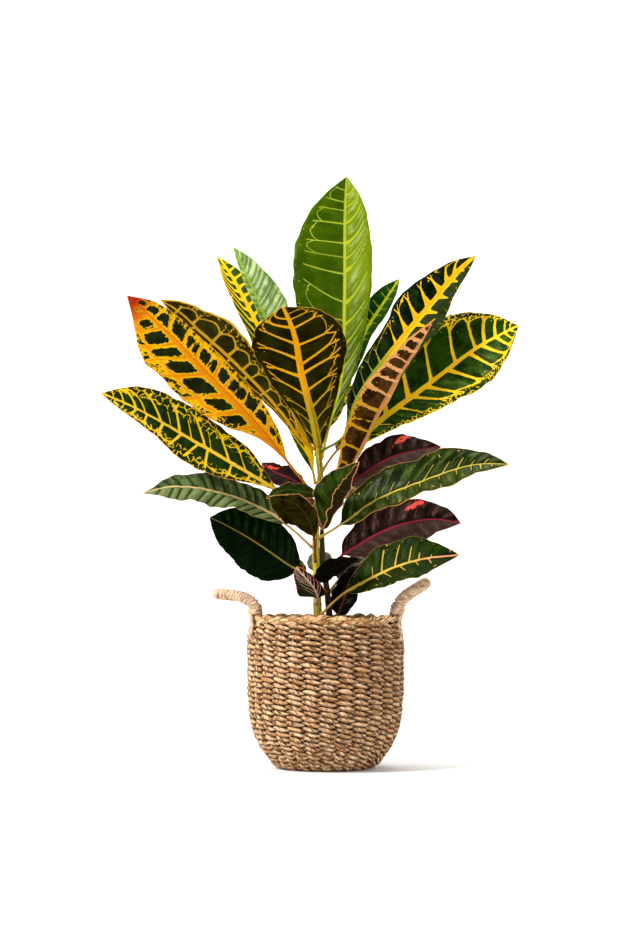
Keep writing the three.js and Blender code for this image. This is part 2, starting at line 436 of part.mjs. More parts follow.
function leaf(row, mat) {
  const line = row.stem === 2 ? STEM_TWO : STEM_ONE;
  const zs = line.map((p) => p[2]);
  const at = [0, 1, 3].map((c) => linear(zs, line.map((p) => p[c]), row.height));
  const w = (row.azimuth * Math.PI) / 180;
  const out = [Math.cos(w), Math.sin(w), 0];
  const aim = new THREE.Vector3(...row.blade[0])
    .sub(new THREE.Vector3(at[0] + 5 * out[0], at[1] + 5 * out[1], row.height)).normalize();
  // a steep petiole's foot lies along the stem, a level one's foot faces it
  const lean = Math.sqrt(Math.max(1 - (aim.x * out[0] + aim.y * out[1]) ** 2, 0));
  const reach = at[2] + GAP + FOOT_RADIUS * lean;
  const foot = [at[0] + reach * out[0], at[1] + reach * out[1], row.height];
  const points = [foot, ...row.blade];
  const ks = chordKnots(points);
  const bladeFrom = ks[1];
  const left = [PETIOLE_RADIUS, ...row.left, 0.7];
  const right = [PETIOLE_RADIUS, ...row.right, 0.7];
  const fold = (row.fold * Math.PI) / 180;
  const faceBase = new THREE.Vector3(...row.faceBase);
  const faceTip = new THREE.Vector3(...row.faceTip);
  const petioleSteps = 2;
  const us = [];
  for (let i = 0; i < LEAF_STATIONS; i += 1) {
    const k = i - petioleSteps;
    us.push(k < 0 ? (bladeFrom * i) / petioleSteps
      : bladeFrom + (1 - bladeFrom) * (k / (LEAF_STATIONS - 1 - petioleSteps)));
  }
  const rings = us.map((u, station) => {
    const swell = RIB_RELIEF * (station % 2 === 0 ? 1 : -1);
    const s = Math.min(Math.max((u - bladeFrom) / (1 - bladeFrom), 0), 1);
    const centre = along(points, ks, u);
    const t = tangent(points, ks, u);
    const face = faceBase.clone().lerp(faceTip, s).normalize();
    const up = face.addScaledVector(t, -face.dot(t)).normalize();
    const side = new THREE.Vector3().crossVectors(t, up);
    const open = Math.min(s / 0.06, 1);
    const half = BLADE_THICKNESS / 2;
    const ring = [];
    const place = (a, x, y) => ring.push(centre.clone().addScaledVector(side, x).addScaledVector(up, y));
    const surface = (a) => {
      const width = smooth(WIDTH_AT, a < 0 ? left : right, s);
      const m = Math.abs(a);
      const ripple = row.wave * m * m * Math.sin(2 * Math.PI * (3.2 * s + (a < 0 ? 0.1 : 0.55)))
        * Math.sin(Math.PI * s);
      return [a * width * Math.cos(fold), width * (m * Math.sin(fold) - 0.10 * m * m) + ripple
        + 4 * m * (1 - m) * swell];
    };
    const keel = (a) => (a === 0 ? KEEL * (1 - 0.75 * s) : 0);
    const across = [-1, -0.5, 0, 0.5, 1];
    across.forEach((a, k) => {
      const [x, y] = surface(a);
      const round = ((162 - 36 * k) * Math.PI) / 180;
      const pr = (u === 0 ? FOOT_RADIUS : PETIOLE_RADIUS);
      place(a, THREE.MathUtils.lerp(pr * Math.cos(round), x, open),
        THREE.MathUtils.lerp(pr * Math.sin(round), y + half, open));
    });
    [...across].reverse().forEach((a, k) => {
      const [x, y] = surface(a);
      const round = ((-18 - 36 * k) * Math.PI) / 180;
      const pr = (u === 0 ? FOOT_RADIUS : PETIOLE_RADIUS);
      place(a, THREE.MathUtils.lerp(pr * Math.cos(round), x, open),
        THREE.MathUtils.lerp(pr * Math.sin(round), y - half - keel(a), open));
    });
    return ring;
  });
  return loft(`leaf_${row.name}`, rings, mat);
}

const LEAF_COLOURS = {
  top_green: '#6f9c1e', olive_front: '#4a4a12', olive_left: '#6a6420', pale_back_left: '#8fb45a',
  small_back_right: '#3f7a2c', dark_right: '#2c3f14', peach_right: '#a8742f', yellow_back_left: '#c9a21a',
  broad_right: '#3c5416', gold_left: '#d79a16', net_left: '#5f6a1a', maroon_back_left: '#3a1f24',
  maroon_right_upper: '#43222a', green_band_left: '#2f4a1c', fold_right: '#35551f', front_left: '#4a4320',
  green_right: '#33592a', wavy_left: '#3d5138', maroon_right_lower: '#4a1f2a', small_dark_front: '#1d1a14',
  dark_left: '#1f3a1c', cup_front: '#5a3a30', green_right_lower: '#2f5122', dark_rim_right: '#2a1f1c',
  grey_back: '#5c6458',
};

const group = new THREE.Group();
group.name = 'potted_croton';
group.add(basket());
group.add(nurseryPot());
group.add(soil());
group.add(handle('handle_left', HANDLE_LEFT, material('#e3c9ae', 0.9)));
group.add(handle('handle_right', HANDLE_RIGHT, material('#e3c9ae', 0.9)));
group.add(stem('stem_main', STEM_ONE, material('#8b8a2c', 0.6)));
group.add(stem('stem_second', STEM_TWO, material('#4d4222', 0.7)));
LEAVES.forEach((row) => group.add(leaf(row, material(LEAF_COLOURS[row.name] ?? '#37512a', 0.45))));

export default group;
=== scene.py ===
# %% [markdown]
# # A potted croton in a woven basket
# This lesson dresses the imported model of a potted croton: broad leaves with yellow and orange
# veins, two stems, a plastic pot of soil, and a round basket twined from dried grass with two
# rope handles. Everything is drawn in metres in the frame of the imported model: X points right,
# Y away from the viewer and Z up, and the origin is the middle of the basket's flat underside.
# First the frame is loaded.

# %% Load the frame
import math
from functools import partialmethod
from types import SimpleNamespace
import bpy
import mathutils
import numpy as np
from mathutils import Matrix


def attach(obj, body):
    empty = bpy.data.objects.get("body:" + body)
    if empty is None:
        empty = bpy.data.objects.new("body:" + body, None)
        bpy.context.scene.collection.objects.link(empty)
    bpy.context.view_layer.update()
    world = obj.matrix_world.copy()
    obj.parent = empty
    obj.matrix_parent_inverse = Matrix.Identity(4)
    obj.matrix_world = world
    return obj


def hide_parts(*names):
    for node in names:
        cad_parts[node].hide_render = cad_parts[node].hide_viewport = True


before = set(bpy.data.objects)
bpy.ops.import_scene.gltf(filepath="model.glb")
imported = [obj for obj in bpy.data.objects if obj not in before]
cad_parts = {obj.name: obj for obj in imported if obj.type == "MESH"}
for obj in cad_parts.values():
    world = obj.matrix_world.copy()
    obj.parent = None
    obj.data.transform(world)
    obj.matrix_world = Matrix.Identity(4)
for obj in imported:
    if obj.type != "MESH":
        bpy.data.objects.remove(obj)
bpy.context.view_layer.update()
random = np.random.default_rng(7)
MM = 0.001
print("nodes in the frame:", len(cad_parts))

# %% [markdown]
# ## Helpers
# A few short helpers come first. These make a mesh out of arrays and put it in the place of a
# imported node.

# %% Mesh helpers
def mesh_object(name, points, quads, material, attributes=None, smooth=True):
    """One mesh object from points in millimetres and rows of four corner numbers.

    Each attribute is an array with one vector per point, kept on the mesh for the shader.
    """
    mesh = bpy.data.meshes.new(name)
    points = np.asarray(points, dtype=np.float32).reshape(-1, 3) * MM
    quads = np.asarray(quads, dtype=np.int32).reshape(-1, 4)
    mesh.vertices.add(len(points))
    mesh.vertices.foreach_set("co", points.ravel())
    mesh.loops.add(quads.size)
    mesh.loops.foreach_set("vertex_index", quads.ravel())
    mesh.polygons.add(len(quads))
    mesh.polygons.foreach_set("loop_start", np.arange(0, quads.size, 4, dtype=np.int32))
    mesh.update(calc_edges=True)
    mesh.polygons.foreach_set("use_smooth", np.full(len(quads), smooth))
    for key, values in (attributes or {}).items():
        layer = mesh.attributes.new(key, "FLOAT_VECTOR", "POINT")
        layer.data.foreach_set("vector", np.asarray(values, dtype=np.float32).ravel())
    mesh.materials.append(material)
    made = bpy.data.objects.new(name, mesh)
    bpy.context.scene.collection.objects.link(made)
    return made


def new_piece(name, points, quads, material, node, attributes=None, smooth=True):
    """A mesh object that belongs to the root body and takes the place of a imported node."""
    piece = mesh_object(name, points, quads, material, attributes, smooth)
    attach(piece, "root")
    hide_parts(node)


def strip_quads(rings, around, closed_rings=False, closed_around=True, offset=0):
    """Corner numbers of a grid of rings, ring after ring, each with the same number of points."""
    last_ring = rings if closed_rings else rings - 1
    last_side = around if closed_around else around - 1
    ring, side = np.meshgrid(np.arange(last_ring), np.arange(last_side), indexing="ij")
    next_ring = (ring + 1) % rings
    next_side = (side + 1) % around
    corners = (ring * around + side, ring * around + next_side,
               next_ring * around + next_side, next_ring * around + side)
    return np.stack(corners, axis=-1).reshape(-1, 4) + offset


print("mesh helpers ready")

# %% [markdown]
# Curves run smoothly through a few given points, and a tube follows a curve with rings of points.
# Most pieces are such grids of rings, so one helper joins any number of them into a piece.

# %% Curve helpers
GOLDEN = 0.6180339


def unit(vectors):
    """Vectors brought to length one."""
    vectors = np.asarray(vectors, dtype=float)
    return vectors / np.maximum(np.linalg.norm(vectors, axis=-1, keepdims=True), 1e-9)


def lengths_along(points):
    """Distance covered at each point since the first one, in straight steps."""
    steps = np.linalg.norm(np.diff(np.asarray(points, dtype=float), axis=0), axis=1)
    return np.concatenate([[0.0], np.cumsum(steps)])


def chord_knots(points):
    """Share of the way along at each point, by the straight distances between points."""
    lengths = lengths_along(points)
    return lengths / lengths[-1]


def smooth_curve(knots, values, where):
    """Cubic pieces through the values: each slope is the mean of its two neighbours' slopes,
    weighted by the other one's length."""
    knots = np.asarray(knots, dtype=float)
    values = np.asarray(values, dtype=float)
    flat = values.ndim == 1
    values = values.reshape(len(knots), -1)
    steps = np.diff(knots)[:, None]
    slopes = np.diff(values, axis=0) / steps
    ends = np.empty_like(values)
    ends[0] = slopes[0]
    ends[-1] = slopes[-1]
    ends[1:-1] = (slopes[:-1] * steps[1:] + slopes[1:] * steps[:-1]) / (steps[1:] + steps[:-1])
    where = np.asarray(where, dtype=float)
    piece = np.clip(np.searchsorted(knots, where, side="right") - 1, 0, len(knots) - 2)
    width = steps[piece]
    share = np.clip((where - knots[piece])[:, None] / width, 0, 1)
    square = share ** 2
    cube = share ** 3
    result = ((2 * cube - 3 * square + 1) * values[piece]
              + (cube - 2 * square + share) * width * ends[piece]
              + (3 * square - 2 * cube) * values[piece + 1]
              + (cube - square) * width * ends[piece + 1])
    return result[:, 0] if flat else result


def full_turn(count):
    """The angles of even steps round a full turn."""
    return 2 * np.pi * np.arange(count) / count


def around_axis(radius, height, angle):
    """Points round the Z axis: (r * cos(angle), r * sin(angle), height)."""
    radius, height, angle = np.broadcast_arrays(radius, height, angle)
    return np.stack([radius * np.cos(angle), radius * np.sin(angle), height], axis=-1)


def tube(path, radius, around=10, twist=0.0, lobes=0, lobe_depth=0.0, closed=False):
    """Rings of points round a path: at angle w each ring has the radius
    r * (1 + depth * cos(lobes * w + twist)), so lobes give a cord its strands."""
    path = np.asarray(path, dtype=float)
    count = len(path)
    if closed:
        tangent = unit(np.roll(path, -1, axis=0) - np.roll(path, 1, axis=0))
    else:
        tangent = unit(np.gradient(path, axis=0))
    side = np.empty_like(path)
    guide = np.array([0.3, 0.2, 1.0]) if abs(tangent[0][2]) < 0.9 else np.array([1.0, 0.2, 0.1])
    for index in range(count):
        guide = unit(guide - tangent[index] * guide.dot(tangent[index]))
        side[index] = guide
    up = np.cross(tangent, side)
    angle = full_turn(around)
    radius = np.broadcast_to(np.asarray(radius, dtype=float), (count,))[:, None]
    spin = np.broadcast_to(np.asarray(twist, dtype=float), (count,))[:, None]
    size = radius * (1 + lobe_depth * np.cos(lobes * angle[None, :] + spin))
    return (path[:, None, :] + side[:, None, :] * (size * np.cos(angle))[..., None]
            + up[:, None, :] * (size * np.sin(angle))[..., None])


def strand_piece(name, strips, material, node, closed_rings=False, numbers=None, smooth=True):
    """One piece from several grids of rings. Its strand attribute holds, for each point, the
    millimetres along its grid, the share of the way round, and the grid's own number."""
    points = []
    quads = []
    places = []
    offset = 0
    for index, rings in enumerate(strips):
        count, around = rings.shape[:2]
        points.append(rings.reshape(-1, 3))
        quads.append(strip_quads(count, around, closed_rings=closed_rings, offset=offset))
        place = np.empty((count, around, 3))
        place[..., 0] = lengths_along(rings.mean(axis=1))[:, None]
        place[..., 1] = np.arange(around) / around
        place[..., 2] = index * GOLDEN % 1.0 if numbers is None else numbers[index]
        places.append(place.reshape(-1, 3))
        offset += count * around
    new_piece(name, np.concatenate(points), np.concatenate(quads), material, node,
              {"strand": np.concatenate(places)}, smooth)


print("curve helpers ready")

# %% [markdown]
# ## Shader helpers
# Every material below is built from nodes. A small class keeps the code short: it adds a node,
# links or sets its sockets and returns the result, so that a formula can be written in words.
# Colours are six hexadecimal digits in the usual screen scale.

# %% Shader helper
TURN = 6.28318


def colour(code):
    """The linear colour of six hexadecimal digits."""
    channels = [int(code[i:i + 2], 16) / 255 for i in (0, 2, 4)]
    linear = [c / 12.92 if c <= 0.04045 else ((c + 0.055) / 1.055) ** 2.4 for c in channels]
    return (*linear, 1.0)


class Shader:
    """Short ways to add nodes to one node tree."""

    def __init__(self, tree):
        """Keeps the tree that the nodes go into."""
        self.tree = tree

    def node(self, kind, **settings):
        """A new node with the given settings."""
        made = self.tree.nodes.new(kind)
        for key, value in settings.items():
            setattr(made, key, value)
        return made

    def put(self, socket, value):
        """Links an output to the socket or sets a value on it; text stands for a colour."""
        if isinstance(value, bpy.types.NodeSocket):
            self.tree.links.new(value, socket)
        else:
            socket.default_value = colour(value) if isinstance(value, str) else value

    def math(self, operation, *values):
        """The result of one sum, product or other simple operation."""
        made = self.node("ShaderNodeMath", operation=operation)
        for socket, value in zip(made.inputs, values):
            self.put(socket, value)
        return made.outputs[0]

    plus = partialmethod(math, "ADD")
    minus = partialmethod(math, "SUBTRACT")
    times = partialmethod(math, "MULTIPLY")
    over = partialmethod(math, "DIVIDE")
    times_plus = partialmethod(math, "MULTIPLY_ADD")
    size = partialmethod(math, "ABSOLUTE")
    larger = partialmethod(math, "MAXIMUM")
    smaller = partialmethod(math, "MINIMUM")
    below = partialmethod(math, "LESS_THAN")

    def ramp(self, value, low, high):
        """A smooth step from 0 where value is low to 1 where it is high."""
        made = self.node("ShaderNodeMapRange", interpolation_type="SMOOTHSTEP")
        for socket, setting in zip(made.inputs, (value, low, high, 0.0, 1.0)):
            self.put(socket, setting)
        return made.outputs[0]

    def vector(self, x=0.0, y=0.0, z=0.0):
        """A vector from three numbers."""
        made = self.node("ShaderNodeCombineXYZ")
        for socket, value in zip(made.inputs, (x, y, z)):
            self.put(socket, value)
        return made.outputs[0]

    def split(self, vector):
        """The three numbers of a vector."""
        made = self.node("ShaderNodeSeparateXYZ")
        self.put(made.inputs[0], vector)
        return made.outputs

    def noise(self, vector, scale, detail=2.0, rough=0.55):
        """Cloudy noise from 0 to 1 whose spots are about one over scale wide."""
        made = self.node("ShaderNodeTexNoise")
        self.put(made.inputs["Vector"], vector)
        made.inputs["Scale"].default_value = scale
        made.inputs["Detail"].default_value = detail
        made.inputs["Roughness"].default_value = rough
        return made.outputs["Fac"]

    def cells(self, vector, scale, **settings):
        """The outputs of a cell pattern whose cells are about one over scale wide."""
        made = self.node("ShaderNodeTexVoronoi", **settings)
        self.put(made.inputs["Vector"], vector)
        made.inputs["Scale"].default_value = scale
        return made.outputs

    def mix(self, factor, first, second):
        """The first colour where the factor is 0 and the second where it is 1."""
        made = self.node("ShaderNodeMix", data_type="RGBA")
        self.put(made.inputs[0], factor)
        self.put(made.inputs[6], first)
        self.put(made.inputs[7], second)
        return made.outputs[2]

    def paint(self, base, tint, mask, amount=1.0):
        """The base colour with the tint laid over it as far as mask * amount says."""
        return self.mix(self.times(mask, amount), base, tint)

    def attribute(self, name):
        """The vector that the mesh keeps for each of its points under a name."""
        made = self.node("ShaderNodeAttribute", attribute_name=name)
        return made.outputs["Vector"]

    def position(self):
        """The place of the shaded point in metres."""
        return self.node("ShaderNodeNewGeometry").outputs["Position"]


def new_material(name):
    """A node material with one principled shader, as (material, shader helper, principled)."""
    material = bpy.data.materials.new(name)
    material.use_nodes = True
    principled = material.node_tree.nodes["Principled BSDF"]
    return material, Shader(material.node_tree), principled


def finish_surface(shader, principled, colour_value, roughness, height=None, distance=0.0003,
                   strength=0.6, gloss=0.5):
    """Links colour, roughness and a bump height to the principled shader, and sets its gloss."""
    shader.put(principled.inputs["Base Color"], colour_value)
    shader.put(principled.inputs["Roughness"], roughness)
    principled.inputs["Specular IOR Level"].default_value = gloss
    if height is not None:
        bump = shader.node("ShaderNodeBump")
        bump.inputs["Strength"].default_value = strength
        bump.inputs["Distance"].default_value = distance
        shader.put(bump.inputs["Height"], height)
        shader.put(principled.inputs["Normal"], bump.outputs[0])


print("shader helpers ready")

# %% [markdown]
# ## The leaves: shape
# Each leaf is a row of numbers: the stem it grows from, the height and bearing of its foot, its
# midrib from base to tip, the half widths on both sides, the way its upper side faces at the base
# and at the tip, its fold and its edge wave. The stems are lists of centre points with a radius.
# The leaves of the far side share three sets of half widths.

# %% Leaf table
STEM_ONE = ((-9, 0, 108, 5.4), (-9, 0, 165, 5.2), (-10, 0, 211, 4.3), (-11, 0, 236, 4.1),
            (-11, 0, 267, 3.9), (-9, 0, 305, 3.8), (-6, 0, 333, 3.6), (-8, 0, 363, 3.2),
            (-7, 0, 382, 2.2))
STEM_TWO = ((5, 13, 108, 4.2), (5, 13, 165, 4.0), (2, 13, 200, 3.6), (-3, 12, 235, 3.3),
            (-4, 12, 262, 2.9), (-4, 12, 276, 1.8))
WIDTH_AT = (0, 0.08, 0.2, 0.35, 0.5, 0.65, 0.8, 0.92, 1)
FAR_SMALL = (10.2, 17.8, 22.9, 23.9, 21.2, 15.1, 7.8)
FAR_MIDDLE = (11.0, 19.3, 24.8, 25.9, 22.9, 16.4, 8.5)
FAR_WIDE = (11.4, 20.1, 25.8, 26.9, 23.8, 17.0, 8.8)
LEAVES = (
    ("top_green", 1, 366, 60,
     ((2, 8, 386), (16, 14, 439), (21, 24, 539), (23, 40, 618), (26, 62, 693)),
     (15, 31, 47, 58.5, 61.5, 49, 25), (6, 14, 25, 32, 34, 28.5, 17),
     (0.0, -0.99, 0.15), (0.05, -0.96, 0.29), 14, 1.5),
    ("olive_front", 1, 371, 262,
     ((-8, -12, 366), (-14, -20, 402), (-25, -38, 448), (-33, -66, 485), (-48, -96, 516)),
     (9, 22, 36, 47, 54, 49, 30), (9, 20, 31, 43, 51, 50, 34),
     (0.0, 0.93, 0.37), (0.0, 0.71, 0.71), 7, 2.0),
    ("olive_left", 1, 364, 185,
     ((-28, -7, 374), (-45, -9, 397), (-109, -18, 465), (-156, -27, 506), (-188, -36, 532)),
     (9, 18, 26, 34, 37, 28, 16), (7, 14, 20, 23, 22, 16, 8),
     (0.5, 0.65, 0.57), (0.5, 0.65, 0.57), 22, 2.0),
    ("pale_back_left", 1, 357, 130,
     ((-17, 20, 399), (-41, 18, 446), (-75, 14, 531), (-94, 12, 573), (-107, 12, 600)),
     (5.8, 7.3, 7.5, 7.6, 6.2, 6.7, 4.0), (11.3, 23.2, 30.1, 31.5, 34.2, 25.2, 12.8),
     (-0.45, -0.89, 0.1), (-0.3, -0.95, 0.1), 18, 1.5),
    ("small_back_right", 1, 354, 50,
     ((12, 26, 417), (31, 36, 461), (48, 46, 506), (69, 54, 540), (88, 62, 570)),
     (5.9, 12.6, 14.4, 14.9, 17.9, 17.5, 9.9), (4, 7, 9, 11, 12.5, 12, 7),
     (-0.28, -0.94, 0.19), (-0.28, -0.92, 0.28), 18, 1.2),
    ("dark_right", 1, 362, 350,
     ((17, -6, 374), (40, 0, 423), (92, 4, 496), (137, 10, 549), (175, 14, 590)),
     (4.7, 14.9, 21.9, 26.5, 34.6, 28.0, 15.6), (19.5, 28.1, 30.4, 28.8, 29.8, 16.4, 8.3),
     (-0.3, -0.94, 0.15), (-0.2, -0.93, 0.3), 14, 2.0),
    ("peach_right", 1, 312, 320,
     ((15, -22, 325), (37, -30, 362), (57, -40, 402), (92, -54, 460), (123, -62, 507)),
     (7, 11, 13, 14, 12, 9, 5), (15, 25, 32, 34, 30, 20, 9),
     (-0.62, 0.64, 0.46), (-0.72, 0.5, 0.48), 20, 1.5),
    ("yellow_back_left", 1, 324, 160,
     ((-14, 5, 336), (-29, 20, 382), (-62, 40, 464), (-100, 52, 542), (-128, 60, 597)),
     (7, 11, 13, 11.5, 9.5, 8.6, 6), (7, 12, 16, 21, 24, 22, 14),
     (0.0, -0.99, 0.15), (-0.1, -0.97, 0.24), 12, 1.2),
    ("broad_right", 1, 319, 20,
     ((31, 6, 365), (52, 14, 392), (115, 26, 443), (193, 24, 497), (225, 18, 509)),
     (10.3, 18.7, 33.6, 46.9, 52.4, 43.9, 21.9), (12, 24, 34, 43, 51, 50, 33),
     (0.05, -0.96, 0.29), (0.05, -0.87, 0.49), 12, 2.2),
    ("gold_left", 1, 311, 200,
     ((-43, -28, 347), (-63, -44, 373), (-127, -74, 439), (-184, -92, 496), (-220, -102, 527)),
     (4.7, 14.0, 36.5, 45.6, 48.6, 45.3, 18.9), (10, 19, 26, 26.5, 25, 22, 14),
     (0.27, -0.91, 0.32), (0.31, -0.9, 0.31), 9, 2.0),
    ("net_left", 1, 297, 190,
     ((-53, -26, 314), (-84, -34, 333), (-150, -46, 373), (-210, -54, 405), (-253, -58, 423)),
     (5.3, 16.0, 30.4, 31.5, 24.3, 15.3, 7.9), (8.5, 21.9, 28.9, 31.5, 33.9, 29.6, 16.0),
     (0.09, -0.92, 0.37), (0.14, -0.88, 0.46), 10, 2.0),
    ("maroon_back_left", 1, 302, 140,
     ((-24, 12, 318), (-41, 20, 331), (-59, 28, 339), (-74, 34, 350)),
     (8, 14, 17, 17, 14, 11, 5.5), (6, 10, 13, 14, 14, 10.5, 5.5),
     (0.0, -0.75, 0.66), (0.0, -0.75, 0.66), 12, 2.0),
    ("maroon_right_upper", 1, 302, 30,
     ((23, 14, 322), (44, 24, 336), (79, 40, 357), (111, 48, 366), (136, 50, 370)),
     (8.1, 15.9, 23.8, 27.7, 27.6, 20.3, 8.9), (10, 20, 28, 31, 29, 22, 11),
     (-0.15, -0.85, 0.5), (0.0, -0.8, 0.6), 12, 2.5),
    ("green_band_left", 1, 288, 215,
     ((-11, -12, 310), (-27, -24, 314), (-46, -38, 315), (-67, -50, 305)),
     (6, 9, 10, 9.5, 8.5, 7, 4.5), (7, 10, 11, 9.5, 7.5, 6, 3),
     (0.09, -0.83, 0.55), (0.09, -0.83, 0.55), 10, 2.0),
    ("fold_right", 1, 280, 300, ((-3, -20, 272), (4, -32, 294), (17, -48, 322), (37, -66, 345)),
     (5, 14, 24, 25, 18, 10.5, 5), (5, 8, 12, 15, 15.5, 11, 5.5),
     (-0.15, -0.93, 0.33), (-0.25, -0.89, 0.38), 10, 2.5),
    ("front_left", 1, 234, 265,
     ((-13, -16, 262), (-19, -34, 281), (-33, -54, 298), (-63, -72, 306)),
     (5, 9, 13, 14, 12, 8, 4), (9, 18, 26, 29, 27, 21, 12),
     (0.1, 0.86, 0.5), (0.1, 0.86, 0.5), 8, 2.5),
    ("green_right", 1, 262, 330,
     ((15, -15, 275), (51, -28, 303), (108, -46, 327), (162, -60, 342), (204, -70, 342)),
     (17, 26, 30, 31, 31, 24, 13), (11, 17, 22, 23, 24, 19, 9),
     (-0.15, -0.85, 0.5), (0.0, -0.73, 0.68), 9, 3.0),
    ("wavy_left", 1, 251, 205,
     ((-44, -18, 276), (-77, -24, 297), (-123, -32, 315), (-165, -40, 320), (-206, -46, 311)),
     (8, 14, 20, 25, 27, 22, 9), (14, 20, 24, 24, 21, 14, 5.5),
     (0.1, -0.8, 0.6), (0.1, -0.73, 0.68), 9, 3.4),
    ("maroon_right_lower", 2, 218, 10,
     ((18, 4, 241), (36, 12, 253), (86, 22, 277), (128, 18, 284), (156, 10, 279)),
     (12.5, 21.6, 30.9, 31.1, 27.8, 20.4, 11.0), (12, 24, 32, 34, 31, 24, 12),
     (-0.1, -0.91, 0.4), (0.0, -0.86, 0.51), 12, 2.5),
    ("small_dark_front", 1, 222, 290,
     ((-14, -19, 215), (-1, -35, 222), (16, -51, 229), (37, -64, 237)),
     (7, 12, 15, 14, 11.5, 7.5, 4), (5.5, 11, 15, 14.5, 10, 6, 3),
     (-0.1, -0.86, 0.5), (-0.1, -0.86, 0.5), 8, 1.5),
    ("dark_left", 1, 210, 180,
     ((-29, -4, 223), (-46, -4, 236), (-77, -6, 257), (-107, -4, 273), (-133, -2, 285)),
     (19, 33, 39, 38, 32.5, 25, 13), (12, 24, 32, 34.5, 33, 25, 14),
     (0.05, -0.96, 0.29), (0.05, -0.94, 0.33), 8, 2.0),
    ("cup_front", 1, 188, 255, ((-9, -18, 193), (-13, -34, 204), (-22, -50, 215), (-33, -64, 228)),
     (9.8, 10.4, 9.0, 8.1, 7.5, 6.0, 4.1), (17.1, 21.6, 20.7, 18.0, 14.4, 11.0, 6.2),
     (0.0, 0.8, 0.6), (0.0, 0.8, 0.6), 10, 1.5),
    ("green_right_lower", 1, 175, 325,
     ((22, -24, 199), (42, -36, 211), (79, -54, 229), (115, -66, 239), (148, -74, 241)),
     (11, 22, 30, 32, 30, 20, 9), (8, 15, 19, 23, 24, 20.5, 9.5),
     (-0.1, -0.89, 0.45), (0.0, -0.8, 0.6), 9, 2.4),
    ("dark_rim_right", 2, 163, 40, ((14, 15, 172), (20, 15, 188), (28, 15, 208), (38, 13, 230)),
     (9, 14, 16.5, 16, 14.5, 11.5, 7.5), (9, 13, 15.5, 15.5, 13, 10, 6),
     (-0.3, -0.9, 0.3), (-0.3, -0.9, 0.3), 10, 1.5),
    ("grey_back", 2, 223, 92, ((-7, 22, 224), (-7, 34, 231), (-6, 48, 239), (-6, 62, 248)),
     (9, 13, 14.5, 14.5, 13.5, 11.5, 7.5), (9, 13, 16, 16, 14.5, 12, 7.5),
     (0.0, -0.62, 0.78), (0.0, -0.62, 0.78), 8, 1.5),
    ("back_top", 1, 374, 95,
     ((-2, 20, 387), (2, 46, 414), (7, 80, 444), (12, 112, 465), (15, 145, 480)),
     FAR_MIDDLE, FAR_MIDDLE, (0.0, -0.41, 0.91), (0.0, -0.29, 0.96), 12, 2.2),
    ("back_left_upper", 1, 349, 112,
     ((-13, 27, 371), (-26, 54, 400), (-46, 84, 426), (-62, 114, 446), (-78, 144, 456)),
     FAR_WIDE, FAR_WIDE, (0.28, -0.19, 0.94), (0.2, -0.1, 0.98), 12, 2.2),
    ("back_right_upper", 1, 340, 45,
     ((12, 22, 362), (38, 44, 386), (67, 70, 408), (95, 96, 425), (123, 124, 432)),
     FAR_WIDE, FAR_WIDE, (-0.28, -0.19, 0.94), (-0.2, -0.1, 0.98), 12, 2.2),
    ("back_left_middle", 1, 291, 150,
     ((-26, 20, 307), (-48, 44, 325), (-75, 72, 343), (-102, 98, 355), (-131, 124, 359)),
     FAR_MIDDLE, FAR_MIDDLE, (0.2, -0.1, 0.98), (0.1, 0.0, 1.0), 12, 2.2),
    ("back_right_middle", 1, 288, 40,
     ((11, 22, 302), (35, 46, 318), (63, 74, 333), (93, 104, 344), (123, 132, 348)),
     FAR_MIDDLE, FAR_MIDDLE, (-0.2, -0.1, 0.98), (-0.1, 0.0, 1.0), 12, 2.2),
    ("back_centre", 1, 279, 88,
     ((-7, 20, 288), (-6, 50, 297), (-4, 82, 304), (-3, 114, 308), (-3, 148, 307)),
     FAR_WIDE, FAR_WIDE, (0.0, -0.2, 0.98), (0.0, 0.0, 1.0), 12, 2.2),
    ("back_left_low", 1, 202, 150,
     ((-24, 16, 214), (-41, 38, 233), (-65, 60, 249), (-89, 82, 260), (-114, 104, 264)),
     FAR_SMALL, FAR_SMALL, (0.2, -0.1, 0.98), (0.1, 0.0, 1.0), 12, 2.2),
    ("back_right_low", 2, 200, 52,
     ((14, 25, 212), (37, 52, 231), (63, 78, 247), (90, 102, 255), (119, 124, 258)),
     FAR_SMALL, FAR_SMALL, (-0.2, -0.1, 0.98), (-0.1, 0.0, 1.0), 12, 2.2),
)
print("leaves:", len(LEAVES))

# %% [markdown]
# The side veins are listed one by one on the leaves whose pattern shows best. Each vein is written
# as the share along the leaf where it leaves the midrib, the share where it comes near the edge,
# its half thickness in millimetres and how far out it reaches. Between two veins a phase is worked
# out that grows by one from vein to vein, so that a shader can draw them all with sharp borders.

# %% Vein phase
def even_veins(look, half_width, length, seed):
    """Veins at even steps with a little jitter, leaning towards the tip."""
    step = look["spacing"] / length
    shares = np.arange(0.07, 0.97, step)
    jitter = 0.16 * step * np.sin(shares * 61 + seed)
    lean = look["lean"] * half_width / length * (1 - 0.55 * shares ** 2)
    reach = look["reach"] * (0.86 + 0.18 * np.sin(shares * 97 + 3 * seed))
    thick = look["lateral"] * (1 - 0.45 * shares)
    return np.stack([shares + jitter, shares + jitter + 0.8 * lean, thick, reach], axis=1)


def side_veins(look, side, half_width, length, seed):
    """The veins of one half as rows of share at midrib, share at 0.8, thickness and reach."""
    given = look.get(side)
    if given is None:
        return even_veins(look, half_width, length, seed + len(side))
    return np.array([vein if len(vein) == 4 else (*vein, look["reach"]) for vein in given])


